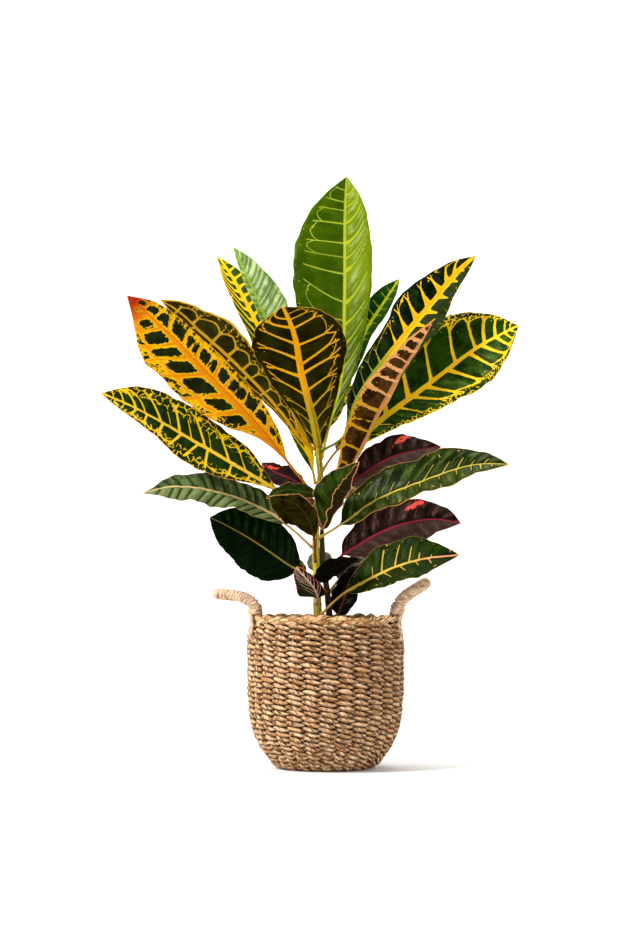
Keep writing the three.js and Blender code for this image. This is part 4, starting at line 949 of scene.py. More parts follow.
LOOKS = {
    "top_green": dict(
        midrib=(2.6, 2.6), taper=0.3, wedge=0.35, fork=0.56, top=0.78, loop=0.75, arch=(0.6, 0.0),
        broken=0.25, ragged=0.12, reach=0.8, specks=0.03, quilt=0.7,
        shift=(0.05, 0.05, 0.04, 0.0, -0.03, -0.05), rough=0.3, coat=0.03, dark="2c4600",
        light="3e5800", pale=(1, "7c920e", 0.9), core="b4bc28", crown_highlight=(1, "c8d890", 0.38), bow=1.6,
        base_shade_range=(0.08, 0.7), rim="96a42a", edge="8fae3a", other_skin="5f8a24", other_ink="b8cc60",
        left=((.08, .14, .7), (.16, .22, .7), (.24, .3, .7), (.34, .39, .7), (.42, .46, .7),
              (.49, .57, .9), (.6, .625, .9), (.665, .675, .5), (.72, .72, .9), (.8, .8, .9),
              (.855, .86, .6), (.89, .9, .7), (.94, .95, .6)),
        right=((.08, .16, 1.2), (.16, .25, 1.2), (.24, .33, 1.3), (.33, .42, 1.3), (.405, .49, 1.4),
               (.485, .6, 1.5), (.61, .73, 1.5), (.66, .76, .7), (.72, .81, 1.5), (.805, .88, 1.1),
               (.87, .93, .6), (.92, .955, .9))),
    "olive_front": dict(
        midrib=(4.6, 4.6), taper=0.15, wedge=0.5, top=0.8, loop=0.15, arch=(0.45, 0.45), broken=0.5,
        split=0.3, ragged=0.2, reach=0.8, net=0.28, net_from=0.72, specks=0.04, margin=0.1,
        shift=(0.0, 0.08, 0.06, 0.03, 0.0, 0.0), seen=-1.0, rough=0.42, coat=0.0, dark="141201",
        light="262602", core="e0960c", rim="d8a014", edge="a8803c", tip=(0.5, 0.15, "948018"),
        other_skin="1c340c", other_ink="e8b824", gloss=0.0,
        left=((.08, .16, .5), (.155, .25, .7), (.245, .36, 1.1), (.365, .45, 1.1), (.48, .59, 1.5),
              (.545, .69, 1.3), (.69, .745, 1.0), (.82, .865, 1.0), (.89, .91, .6),
              (.935, .945, .4)),
        right=((.06, .14, .5), (.13, .25, .6), (.205, .34, .6), (.33, .49, 1.0), (.465, .565, 1.5),
               (.585, .735, 1.5), (.7, .89, 1.2), (.83, .945, 1.2), (.9, .975, .8))),
    "olive_left": dict(
        midrib=(2.2, 2.2), taper=0.3, fork=0.4, top=0.62, loop=1.0, arch=(0.7, 0.7), broken=0.2,
        ragged=0.2, reach=0.52, net=0.45, net_from=0.6, net_size=6.5, margin=2.2,
        shift=(-0.05, -0.05, -0.05, -0.06, -0.2, -0.2), seen=-1.0, rough=0.42, dark="1a1a03",
        light="302f05", core="c89410", rim="b8901c", edge="c07a2c", other_skin="1c340c",
        other_ink="f0b81c", gloss=0.0,
        left=((.05, .05, .5), (.12, .11, .6), (.21, .2, .8), (.3, .29, .9), (.4, .38, 1.0),
              (.46, .45, 1.2), (.56, .55, 1.6), (.665, .66, 1.4), (.8, .79, 1.4), (.9, .9, 1.0)),
        right=((.1, .1, 1.2), (.2, .2, 1.2), (.3, .31, 1.2), (.42, .42, 1.2), (.54, .55, 1.2),
               (.66, .67, 1.2), (.78, .8, 1.2), (.9, .91, 1.2))),
    "pale_back_left": dict(
        midrib=(1.6, 1.6), ragged=0.15, reach=0.9, spacing=8.0, lateral=0.15, lean=0.7, quilt=0.8,
        crease_shade=0.85, dark="386408", light="b4c888", core="c8dc50", rim="8cae3c", edge="a8c070",
        pale=(-1, "8a9e18", 0.8), rough=0.24, crown_highlight=(1, "d8e2c4", 0.6), coat=0.03, specks=0.0,
        other_skin="6c8a3c"),
    "small_back_right": dict(
        midrib=(2.9, 2.9), taper=0.6, ragged=0.2, reach=0.8, spacing=12.0, lateral=0.6, wedge=0.8,
        quilt=0.7, dark="123802", light="225404", pale=(1, "4a6e2c", 0.85), core="f0f428",
        rim="e0ec28", edge="5a8a3a", rough=0.28, coat=0.03, specks=0.0),
    "dark_right": dict(
        midrib=(4.8, 4.8), taper=0.68, wedge=2.4, fork=0.66, top=0.9, arch=(0.28, 0.0), broken=0.45,
        split=0.34, ragged=0.42, reach=0.84, round=1.8, specks=0.07, crease_shade=0.5,
        shift=(0, 0, 0.03, 0.0, -0.16, -0.3), rough=0.28, dark="020801", light="061402",
        pale=(1, "2e3e16", 0.8), core="e8a612", crown_highlight=(-1, "345016", 0.3), rim="e4b41a",
        edge="2c4416", tip=(0.52, 0.36, "8a9426"),
        left=((.1, .14, .3), (.18, .22, .4), (.25, .3, .5), (.32, .35, .5), (.37, .41, .8),
              (.475, .53, 1.0), (.55, .6, 1.7), (.62, .67, 1.7), (.7, .745, 1.8), (.785, .8, 1.7),
              (.83, .88, 1.5), (.88, .93, 1.2)),
        right=((.12, .14, .5), (.25, .28, .6), (.38, .4, .8), (.5, .53, 1.0), (.6, .63, 1.2, .5),
               (.67, .71, 1.6, .5), (.76, .78, 1.6, .6), (.85, .865, 1.3, .55),
               (.91, .925, .9, .4))),
    "peach_right": dict(
        midrib=(-9.0, -9.0), taper=-0.15, wedge=0.0, fork=0.74, top=0.93, loop=1.0, arch=(0.0, 0.8),
        broken=0.0, ragged=0.75, fingers=5.0, round=2.6, pale=(-1, "cc8c54", 1.0), pale_from=2.4,
        reach=1.2, net=0.36, net_from=0.8, margin=1.3, specks=0.22,
        shift=(0.08, 0.08, 0.09, 0.14, 0.25, 0.3), seen=-1.0, rough=0.42, dark="180d02",
        light="4a3010", core="d89660", rim="e0a86e", edge="b8582c", tip=(0.6, 0.38, "c49418"),
        other_skin="182c0a", other_ink="f0b81c", gloss=0.0,
        left=((.02, .02, .7), (.055, .055, .6), (.105, .1, 1.2), (.2, .2, 1.3), (.31, .3, 1.6),
              (.365, .37, .5), (.43, .43, 1.8), (.53, .53, 1.6), (.61, .62, 1.5), (.67, .67, 2.1),
              (.73, .73, .6), (.79, .8, 1.9), (.855, .86, 2.0), (.91, .91, 2.2), (.96, .96, 2.4)),
        right=((.02, .02, .7), (.055, .055, .6), (.105, .11, 1.2), (.2, .2, 1.3), (.31, .32, 1.6),
               (.365, .35, .5), (.43, .43, 1.8), (.53, .53, 1.6), (.61, .6, 1.5), (.67, .67, 2.1),
               (.73, .73, .6), (.79, .78, 1.9), (.855, .85, 2.0), (.91, .91, 2.2),
               (.96, .96, 2.4))),
    "yellow_back_left": dict(
        midrib=(0.5, 6.0), taper=0.2, wedge=1.6, ragged=0.22, reach=0.9, round=1.6, net=0.34,
        margin=0.5, shift=(0, 0, 0.1, 0.16, 0.2, 0.2), dark="1c3406", light="34500a", core="f6b80c",
        rim="ecc81c", edge="b89840",
        left=((.08, .18, .8), (.2, .3, .6), (.32, .42, .6), (.44, .55, .6), (.56, .67, .6),
              (.635, .74, .6), (.69, .8, .6), (.74, .845, .6), (.785, .88, .6), (.825, .91, .6),
              (.865, .94, .6), (.905, .965, .6), (.94, .98, .5)),
        right=((.1, .12, 1.4), (.22, .24, 1.4), (.34, .36, 1.4), (.46, .48, 1.5), (.58, .6, 1.5),
               (.66, .68, 1.5), (.71, .72, 1.5), (.755, .765, 1.5), (.8, .8, 1.5), (.84, .845, 1.5),
               (.88, .885, 1.5), (.92, .925, 1.5))),
    "broad_right": dict(
        midrib=(3.6, 3.6), taper=0.2, wedge=0.6, fork=0.66, top=0.82, arch=(0.55, 0.55),
        broken=0.34, split=0.32, ragged=0.34, reach=0.78, net=0.5, net_from=0.8, net_size=4.6,
        specks=0.17, crease_shade=0.3, margin=0.5, round=1.8, fingers=1.2, crown_highlight=(1, "5a7a2c", 0.55),
        shift=(0.2, 0.2, 0.12, 0.1, 0.1, 0.05), quilt=0.9, rough=0.29, dark="0a1e01",
        light="223e04", core="f0b41a", rim="ecc41c", edge="c8a838", tip=(0.35, 0.15, "ccb41c"),
        left=((.03, .04, .8), (.085, .1, 1.6), (.155, .175, 1.8), (.235, .3, 2.6), (.37, .44, 2.4),
              (.505, .605, 1.6), (.65, .735, 1.5), (.77, .805, 1.3), (.82, .87, 1.6),
              (.88, .91, 1.4), (.93, .95, .9), (.955, .968, .8)),
        right=((.08, .13, .4), (.16, .235, .7, .6), (.3, .38, 1.1), (.385, .5, 1.5),
               (.47, .565, 1.9), (.6, .69, 1.9), (.73, .8, 1.7), (.8, .9, 1.6), (.885, .94, 1.4),
               (.93, .96, .9), (.96, .98, .8))),
    "gold_left": dict(
        midrib=(10.5, 4.6), taper=0.12, wedge=0.5, fork=0.66, top=0.76, loop=1.0, arch=(0.9, 0.9),
        broken=0.1, ragged=0.55, fingers=9.5, round=3.2, spine="b8540e", reach=1.3, net=0.55,
        net_size=5.5, net_from=0.78, margin=1.0, specks=0.07, dark="0e1601", light="1c2404",
        core="de8a0c", rim="e8b80e", edge="a83c10", tip=(0.85, 0.98, "a8300a"), rough=0.38,
        left=((.02, .04, 9.0), (.075, .11, 9.0), (.13, .19, 6.5), (.19, .265, 4.8), (.3, .395, 4.0),
              (.405, .51, 3.6), (.53, .64, 3.3), (.63, .735, 2.9), (.71, .81, 2.6),
              (.805, .875, 2.8), (.89, .93, 4.0), (.955, .97, 5.0)),
        right=((.02, .02, 2.4), (.07, .075, 1.8), (.12, .125, .3), (.165, .195, 2.6),
               (.265, .275, .5), (.33, .345, 1.7), (.385, .39, .3), (.435, .44, 2.3),
               (.5, .525, 2.9), (.555, .56, .4), (.61, .63, 2.7), (.655, .66, .5), (.69, .71, 2.0),
               (.775, .8, 1.9), (.855, .85, 1.8), (.915, .905, 1.7), (.955, .95, 1.7),
               (.985, .98, 2.0))),
    "net_left": dict(
        midrib=(2.5, 2.3), taper=0.0, wedge=0.0, fork=0.6, top=0.8, loop=1.0, arch=(0.65, 0.65),
        broken=0.22, ragged=0.3, fingers=1.6, round=1.8, reach=0.8, net=0.52, net_size=7.5,
        net_from=0.52, margin=0.35, shift=(-0.05, -0.06, -0.09, -0.06, 0, 0.05), dark="0d1c04",
        light="1c2e06", core="e6bc54", rim="dcb812", edge="c87c48", rough=0.38,
        crown_highlight=(0, "324c14", 0.35),
        left=((.08, .08, .9), (.165, .17, 1.3), (.27, .265, 1.3), (.41, .38, 1.5), (.465, .5, 1.3),
              (.56, .59, 1.6), (.665, .66, 1.6), (.755, .745, 1.3), (.81, .825, 1.3),
              (.875, .88, .6), (.92, .925, .5)),
        right=((.04, .06, .8), (.11, .13, 1.4), (.19, .3, .9), (.29, .405, 1.3),
               (.395, .48, .5, .55), (.425, .545, 1.5), (.505, .6, .6, .5), (.57, .665, 1.5),
               (.62, .72, .4, .4), (.675, .81, 1.2), (.76, .88, .7), (.815, .905, 1.0),
               (.885, .93, .6), (.935, .955, .5))),
    "maroon_back_left": dict(
        MAROON, dark="170a0a", light="2b1916", core="a8283a", rim="7c2430", edge="6a3038",
        midrib=(1.2, 1.2), specks=0.0, blotch=2.6, blot="e8503c", blotch_at=0.84, blotch_out=0.1,
        quilt=0.2),
    "maroon_right_upper": dict(
        MAROON, dark="0e0504", light="291a16", pale=(1, "5c463c", 0.75), crown_highlight=(0, "745448", 0.55),
        core="8e2030", rim="74202c", edge="6a3a40", midrib=(1.9, 1.9), specks=0.04, blotch=3.2,
        blotch_at=0.68, blot="f05a44", quilt=0.25),
    "maroon_right_lower": dict(
        MAROON, dark="0e0504", light="2c1c18", pale=(1, "604a42", 0.75), crown_highlight=(0, "80605a", 0.6),
        core="9a2640", rim="98263a", edge="a83a48", midrib=(1.4, 1.4), specks=0.05, blotch=3.4,
        blotch_at=0.66, blot="f0564a", quilt=0.25, tip=(0.6, 0.9, "c83a50"),
        shift=(0.1, 0, 0, 0.02, 0.04, 0)),
    "green_band_left": dict(
        dark="122004", light="283c08", edge="c8804a", core="4c5a18", rim="45581a", lateral=0.1,
        midrib=(0.7, 0.7), other_skin="33101a", specks=0.02, rough=0.33),
    "fold_right": dict(
        net=0.0, dark="0a1600", light="223204", edge="d8946a", core="d89a62", rim="c0844c",
        pale=(1, "1a0f04", 1.0), lateral=-0.7, specks=0.0, midrib=(0.55, 0.55), wander=11.0,
        crown_highlight=(-1, "4e6220", 0.5), other_skin="280f0c", rough=0.3),
    "front_left": dict(
        seen=-1.0, net=0.0, dark="0d0802", light="2a2806", core="8a8c20", rim="6a5a20",
        midrib=(0.8, 0.8), lateral=0.1, spacing=8.0, spine="6a0802", tip=(0.02, 0.1, "2c2408"),
        edge="c8884e", other_skin="1c2c0c", gloss=0.0),
    "green_right": dict(
        midrib=(1.3, 1.5), taper=0.3, ragged=0.3, reach=0.6, specks=0.09, dark="091301",
        light="203004", pale=(1, "3c4618", 0.6), core="dab048", crown_highlight=(0, "6a7c3c", 0.5),
        rim="b0a040", edge="c08444", quilt=0.65, crease_shade=0.45, rough=0.28, coat=0.02,
        shift=(0.15, 0.18, 0.18, 0.1, -0.05, -0.1),
        left=((.1, .18, .2, .2), (.245, .33, .3, .3), (.33, .44, .35, .4), (.43, .56, .3, .2),
              (.53, .66, .4, .5), (.64, .75, .4, .4), (.725, .79, .5, .5), (.8, .86, .3, .3),
              (.87, .91, .4, .5)),
        right=((.12, .13, .2, .2), (.22, .22, .2, .2), (.32, .325, .4, .4), (.43, .43, .3, .2),
               (.51, .515, .4, .4), (.62, .625, .3, .3), (.72, .72, .4, .4), (.8, .81, .4, .5),
               (.85, .865, .7, .6), (.91, .92, .5, .4))),
    "wavy_left": dict(
        midrib=(1.8, 1.8), taper=0.3, ragged=0.2, reach=0.3, specks=0.04, net=0.0, dark="16290a",
        light="54683a", pale=(-1, "74804e", 0.85), core="e0be84", crown_highlight=(0, "909c68", 0.6),
        rim="c8b070", edge="8a7a50", quilt=1.1, crease_shade=0.95, rough=0.28, coat=0.04,
        shift=(0.1, -0.05, -0.13, -0.1, 0.05, 0.1), spacing=13.0, lateral=-0.7),
    "small_dark_front": dict(
        dark="040402", light="090805", core="0c0906", rim="0a0805", edge="2c1c0e", specks=0.0,
        lateral=0.1, midrib=(0.6, 0.6), rough=0.55, coat=0.0, other_skin="080604",
        other_ink="0c0906", gloss=0.0),
    "dark_left": dict(
        midrib=(1.1, 1.1), taper=0.5, reach=0.12, specks=0.04, net=0.05, lateral=-0.7,
        dark="010c01", light="041602", core="ac762a", rim="8a7a2a", edge="2c2a14",
        crown_highlight=(1, "1c3c0a", 0.7), spacing=12.0, quilt=0.9, crease_shade=0.9, rough=0.42,
        shift=(-0.1, -0.08, -0.06, -0.03, 0, 0)),
    "cup_front": dict(
        seen=-1.0, dark="140e06", light="2e2412", core="fce0cc", rim="e0b8a0", midrib=(1.0, 1.0),
        spacing=8.5, reach=0.9, lean=1.7, edge="e4583a", pale=(1, "3c4a20", 0.6),
        other_skin="1c1410", specks=0.0, gloss=0.0),
    "green_right_lower": dict(
        midrib=(1.9, 2.1), taper=0.2, ragged=0.35, reach=0.5, specks=0.07, dark="0c1a02",
        light="1e3004", pale=(1, "222e08", 0.5), core="dcb848", crown_highlight=(-1, "30480f", 0.5),
        rim="c8a43a", edge="8a6a34", quilt=0.8, rough=0.3, tip=(0.62, 0.85, "e09a6c"),
        shift=(0.05, 0.05, 0.04, 0.08, 0.1, 0.1),
        left=((.14, .16, .4, .2), (.28, .31, .4, .45), (.36, .42, .8, .8), (.48, .545, .7, .8),
              (.6, .655, .6, .6), (.68, .72, .6, .3), (.78, .82, .3, .2)),
        right=((.16, .2, .3, .2), (.3, .34, .4, .35), (.37, .48, .5, .5), (.52, .615, .4, .4),
               (.65, .73, .3, .3), (.76, .82, .5, .4))),
    "dark_rim_right": dict(
        dark="080603", light="120d08", core="a06450", rim="5c3428", edge="3a2218", specks=0.0,
        lateral=0.1, other_skin="140c0a"),
    # Painted light: the grey far leaf's colours are raised well above its own, since it lies in the
    # shade of the other leaves.
    "grey_back": dict(
        dark="8c8c78", light="c8c8b4", core="a8aa88", rim="9c9c84", edge="8a8a6c", specks=0.0,
        other_skin="b0b29a", other_ink="b8ba9c"),
}
FAR_LOOKS = ("green_right_lower", "broad_right", "dark_left", "net_left")


def look_of(name):
    """The base look with the leaf's own changes; the far leaves take turns."""
    if name.startswith("back_"):
        number = [row[0] for row in LEAVES].index(name)
        name = FAR_LOOKS[number % len(FAR_LOOKS)]
    return dict(BASE_LOOK, **LOOKS[name])


print("looks:", len(LOOKS))

# %% [markdown]
# The blade's colour is picked by the group's outputs, and then the two sides of the leaf are mixed
# by the side flag. Waxy leaves are glossy: the roughness is low with a thin clear coat, and the
# blade lets a little light through, so a translucent shader is blended in.

# %% Leaf material
def place_marks(g, name, look):
    """The marking group in a leaf's material, with the sizes that its look names."""
    group = g.node("ShaderNodeGroup", node_tree=leaf_marks)
    for label in ("Place", "Veins", "Face"):
        g.put(group.inputs[label], g.attribute("leaf_" + label.lower()))
    values = dict(look, seed=name_number(name) % 29 + 0.5)
    values["midrib_left"], values["midrib_right"] = look["midrib"]
    values["arch_left"], values["arch_right"] = look["arch"]
    for label in MARK_INPUTS:
        group.inputs[label].default_value = values[label.lower().replace(" ", "_")]
    return group.outputs


def skin_colour(g, look, out, share, patch):
    """The blade between the marks: patches, a pale half, painted shade in the creases, painted
    highlights on the crowns and fine threads.
    """
    skin = g.mix(patch, look["dark"], look["light"])
    # The pale half is partly the leaf's own paler tone and partly painted sheen.
    if look["pale"]:
        half, tint, amount = look["pale"]
        plain_tint = amount == 1
        wide = 0.3 if plain_tint else 2.5
        across = g.minus(g.times(out["Across"], half), look["pale_from"])
        here = g.times(g.ramp(across, -0.2 * wide, wide), amount)
        # Painted shade: the pale half fades out towards the leaf's base.
        if look["base_shade_range"]:
            here = g.times(here, g.ramp(share, *look["base_shade_range"]))
        toned = g.mix(g.times(patch, 0.0 if plain_tint else 0.45), tint, look["light"])
        skin = g.mix(here, skin, toned)
    # Painted shade: the dark blade colour laid in the groove beside each vein.
    skin = g.paint(skin, look["dark"], out["Crease shade"], look["crease_shade"])
    # Painted highlight: a pale tint on the swelling between two veins.
    if look["crown_highlight"]:
        half, tint, amount = look["crown_highlight"]
        where = g.ramp(g.times(out["Across"], half), 0.5, 4.0) if half else 1.0
        skin = g.paint(skin, tint, g.times(out["Crown highlight"], where), amount)
    return g.paint(skin, look["light"], out["Mesh"], 0.35)


def ink_colour(g, look, out, share):
    """The marks: a rim colour, a core colour inside, a line along the spine and a tip colour."""
    ink = g.mix(out["Core"], look["rim"], look["core"])
    if look["spine"]:
        ink = g.paint(ink, look["spine"], out["Spine"], 0.8)
    if look["tip"]:
        low, high, tint = look["tip"]
        cloudy_share = g.times_plus(out["Patch"], 0.16, g.minus(share, 0.08))
        ink = g.paint(ink, tint, g.ramp(cloudy_share, low, high))
    return g.paint(ink, look["edge"], out["Mesh"], 0.10)


def leaf_material(name, look):
    """One leaf's material: marks from the group, colours mixed by them, gloss and bump."""
    material, g, principled = new_material("leaf_" + name)
    out = place_marks(g, name, look)
    share, side_up, _ = g.split(g.attribute("leaf_face"))
    patch = g.ramp(out["Patch"], 0.36, 0.64)
    front = g.mix(out["Mark"], skin_colour(g, look, out, share, patch),
                  ink_colour(g, look, out, share))
    front = g.paint(front, look["blot"], out["Blotches"])
    front = g.paint(front, look["edge"], out["Edge"])
    back = g.mix(g.times(patch, 0.3), look["other_skin"], look["light"])
    back = g.paint(back, look["other_ink"], out["Mark"])
    seen = g.ramp(g.times(side_up, look["seen"]), -0.2, 0.2)
    whole = g.mix(seen, back, front)
    rough = g.times_plus(out["Patch"], 0.16, look["rough"] - 0.06)
    rough = g.times_plus(g.minus(1.0, seen), 0.12, rough)
    finish_surface(g, principled, whole, rough, out["Height"], distance=0.0010, strength=0.55,
                   gloss=look["gloss"])
    principled.inputs["Coat Weight"].default_value = look["coat"]
    principled.inputs["Coat Roughness"].default_value = 0.16
    glow = g.node("ShaderNodeBsdfTranslucent")
    g.put(glow.inputs["Color"], whole)
    blend = g.node("ShaderNodeMixShader")
    blend.inputs[0].default_value = 0.12
    g.put(blend.inputs[1], principled.outputs[0])
    g.put(blend.inputs[2], glow.outputs[0])
    g.put(material.node_tree.nodes["Material Output"].inputs["Surface"], blend.outputs[0])
    return material


for row in LEAVES:
    look = look_of(row[0])
    leaf_piece(row, look, leaf_material(row[0], look))
print("leaves drawn:", len(LEAVES))

# %% [markdown]
# ## The stems
# Both stems are tubes with a ring-shaped scar where each leaf grows out. The bark of the front one
# goes from yellow-green above to brown at the soil; both have darker streaks along them.

# %% Stems
def stem_piece(node, line, feet, material):
    """A tube whose radius swells by 0.5 mm in a ring just below each leaf's foot."""
    line = np.array(line, dtype=float)
    knots = chord_knots(line[:, :3])
    where = np.linspace(0, 1, 260)
    path = smooth_curve(knots, line[:, :3], where)
    radius = np.maximum(smooth_curve(knots, line[:, 3], where), 0.9)
    for foot in feet:
        radius = radius + 0.5 * np.exp(-((path[:, 2] - foot + 2.2) / 1.1) ** 2)
        radius = radius - 0.15 * np.exp(-((path[:, 2] - foot - 1.0) / 0.8) ** 2)
    cap = np.clip((1 - where) * 60, 0, 1) ** 0.5
    radius = radius * np.maximum(cap, 0.05)
    rings = tube(path, radius, 20, lobes=5, lobe_depth=0.03, twist=where * 9)
    strand_piece(node + "_bark", [rings], material, node)


def bark_material(name, young, old, streak, fleck):
    """Bark: young colour above, old colour low down, streaks stretched along the stem."""
    material, g, principled = new_material(name)
    along, around, _ = g.split(g.attribute("strand"))
    turn = g.times(around, TURN)
    ring = g.vector(g.times(g.math("COSINE", turn), 2.2), g.times(g.math("SINE", turn), 2.2),
                    g.times(along, 0.035))
    fine = g.noise(g.vector(g.times(around, 9.0), 0.0, g.times(along, 0.5)), 1.3, 4.0)
    base = g.mix(g.ramp(along, 60.0, 120.0), old, young)
    base = g.paint(base, streak, g.ramp(g.noise(ring, 1.6, 3.0), 0.50, 0.62))
    base = g.paint(base, fleck, fine, 0.20)
    finish_surface(g, principled, base, g.times_plus(fine, 0.25, 0.40), fine, distance=0.0006,
                   strength=0.5, gloss=0.12)
    return material


green_bark = bark_material("green_bark", "aea41a", "7c6a22", "561608", "dcd060")
brown_bark = bark_material("brown_bark", "382a12", "241a0c", "1a0e06", "5c4a22")
for number, node, line, bark in ((1, "stem_main", STEM_ONE, green_bark),
                                 (2, "stem_second", STEM_TWO, brown_bark)):
    feet = [row[2] for row in LEAVES if row[1] == number]
    stem_piece(node, line, feet, bark)
    print(node, "leaves:", len(feet))

# %% [markdown]
# ## The basket
# The wall is pair twined: in each row two strands of twisted grass pass in turn in front of
# 28 upright stakes. Seen from outside, every row is a chain of slanting, lens-shaped floats, each
# tucked under the next. A row's path is the wall's outline, from the middle of the floor out and
# up to the rim.

# %% Basket outline
PROFILE = ((0, 48), (3, 56), (9, 62.5), (15, 67.5), (26, 75), (40, 81.5), (56, 85.5),
           (76, 87.8), (110, 88.5), (145, 88.2), (160, 86), (168, 83.5))
STAKES = 28
ROWS = 30
RIM_TOP = 174.0
RIM_RADIUS = 5.2
FLOOR_STEPS = 60


def wall_radius(height):
    """Outside radius of the wall at a height in millimetres."""
    heights, radii = zip(*PROFILE)
    return smooth_curve(heights, radii, np.atleast_1d(height))


heights = np.linspace(0.0, 165.0, 500)
floor_part = np.stack([np.linspace(3, 47, FLOOR_STEPS), np.zeros(FLOOR_STEPS)], axis=1)
outline = np.concatenate([floor_part, np.stack([wall_radius(heights), heights], axis=1)])
outline_length = lengths_along(outline)
floor_length = outline_length[FLOOR_STEPS - 1]
pitch = (outline_length[-1] - floor_length) / ROWS
print("wall outline length in mm:", round(float(outline_length[-1] - floor_length)))
print("row pitch in mm:", round(float(pitch), 2))


def outline_point(length):
    """Radius, height, tangent and outward normal of the outline, at a length from the floor's
    middle. The tangent is taken between the points 1.5 mm before and after."""
    here, ahead, behind = [
        np.stack([np.interp(length + step, outline_length, outline[:, c]) for c in (0, 1)], axis=-1)
        for step in (0, 1.5, -1.5)]
    tangent = unit(ahead - behind)
    normal = np.stack([tangent[..., 1], -tangent[..., 0]], axis=-1)
    return here[..., 0], here[..., 1], tangent, normal


def outline_inside(lengths, depth):
    """Radius and height of the outline moved inwards by a depth in millimetres."""
    radius, height, _, normal = outline_point(lengths)
    return radius - depth * normal[:, 0], height - depth * normal[:, 1]

# %% [markdown]
# Each row is a pair of strands that turn round each other, half a turn from stake to stake. With
# the phase p = 14 * angle, the depth of a strand is out = a * cos(p) and its height is
# up = -b * sin(p), so it slants down to the right while it lies in front. There it is at its
# thickest, and it is pinched where it dives between two stakes. The rows are not quite level: each
# rises and sinks a little on its way round, together with its neighbours.

# %% Twined rows
SINK = 2.6
SWING = 1.7


def row_sway(length, angle):
    """Rise of a row in millimetres: slow waves shared by rows that lie close together."""
    return (0.9 * np.sin(angle + 0.4) + 0.7 * np.sin(3 * angle + length * 0.021)
            + 0.5 * np.sin(7 * angle + length * 0.06 + 1.3))


def twined_rows(lengths, counts, pitch, steps=8, around=10):
    """All strands of the given rows: one list of points, one of quads, the strand places, and
    1 - cos(p) at each point, which tells the shader how far back a strand dives, for its
    painted shade."""
    turn = full_turn(around)
    parts = []
    offset = 0
    for length, count in zip(lengths, counts):
        total = count * steps
        start = length * 0.0011 * 2 * np.pi / count - np.pi / 2 + random.normal(0, 0.008)
        stitch = np.arange(total) / steps
        spread = random.normal(0, 1, (4, count))
        spread = np.concatenate([spread, spread[:, :1]], axis=1)
        shift, fat, bulge, jitter = [np.interp(stitch, np.arange(count + 1), row)
                                     for row in spread]
        angle = start + 2 * np.pi * (stitch + 0.10 * jitter) / count
        wall = np.clip((length - floor_length - 20) / 40, 0, 1)
        level = length + 0.28 * shift + wall * row_sway(length, angle)
        for strand in range(2):
            phase = np.pi * (stitch - strand)
            front = np.clip(np.cos(phase), 0, 1) ** 0.8
            centre = level - pitch * 0.24 * np.sin(phase)
            radius, height, tangent, normal = outline_point(np.maximum(centre, 1.5))
            out = -SINK + SWING * np.cos(phase) + (0.5 + 0.35 * bulge) * front
            tall = pitch * (0.21 + (0.27 + 0.035 * fat) * front)
            deep = 1.5 + 0.8 * front
            spin = 2.4 * phase + length
            lobes = 1 + 0.12 * np.cos(5 * turn[None, :] + spin[:, None])
            up = tall[:, None] * np.sin(turn) * lobes
            away = deep[:, None] * np.cos(turn) * lobes + out[:, None]
            r = radius[:, None] + tangent[:, 0:1] * up + normal[:, 0:1] * away
            z = height[:, None] + tangent[:, 1:2] * up + normal[:, 1:2] * away
            rings = around_axis(r, np.maximum(z, 0.05), angle[:, None])
            shades = random.uniform(0, 1, count // 2)
            number = np.floor((stitch - strand + 1) / 2).astype(int) % (count // 2)
            place = np.empty(rings.shape)
            place[..., 0] = (stitch * 2 * np.pi * radius.mean() / count)[:, None]
            place[..., 1] = np.arange(around) / around
            place[..., 2] = shades[number][:, None]
            dive = np.repeat(1 - np.cos(phase), around * 3)
            quads = strip_quads(total, around, closed_rings=True, offset=offset)
            parts.append((rings.reshape(-1, 3), quads, place.reshape(-1, 3), dive.reshape(-1, 3)))
            offset += total * around
    return [np.concatenate(part) for part in zip(*parts)]


print("twining ready")

# %% [markdown]
# The grass changes its straw colour from float to float, and its fibres are light and dark lines
# that turn slowly round a strand; the light lines are partly paler fibre and partly painted
# highlight. Painted shade darkens both edges of a float and its lower half, a painted highlight
# lies on its upper side, and painted shade makes the strand darkest where it dives behind its
# partner.

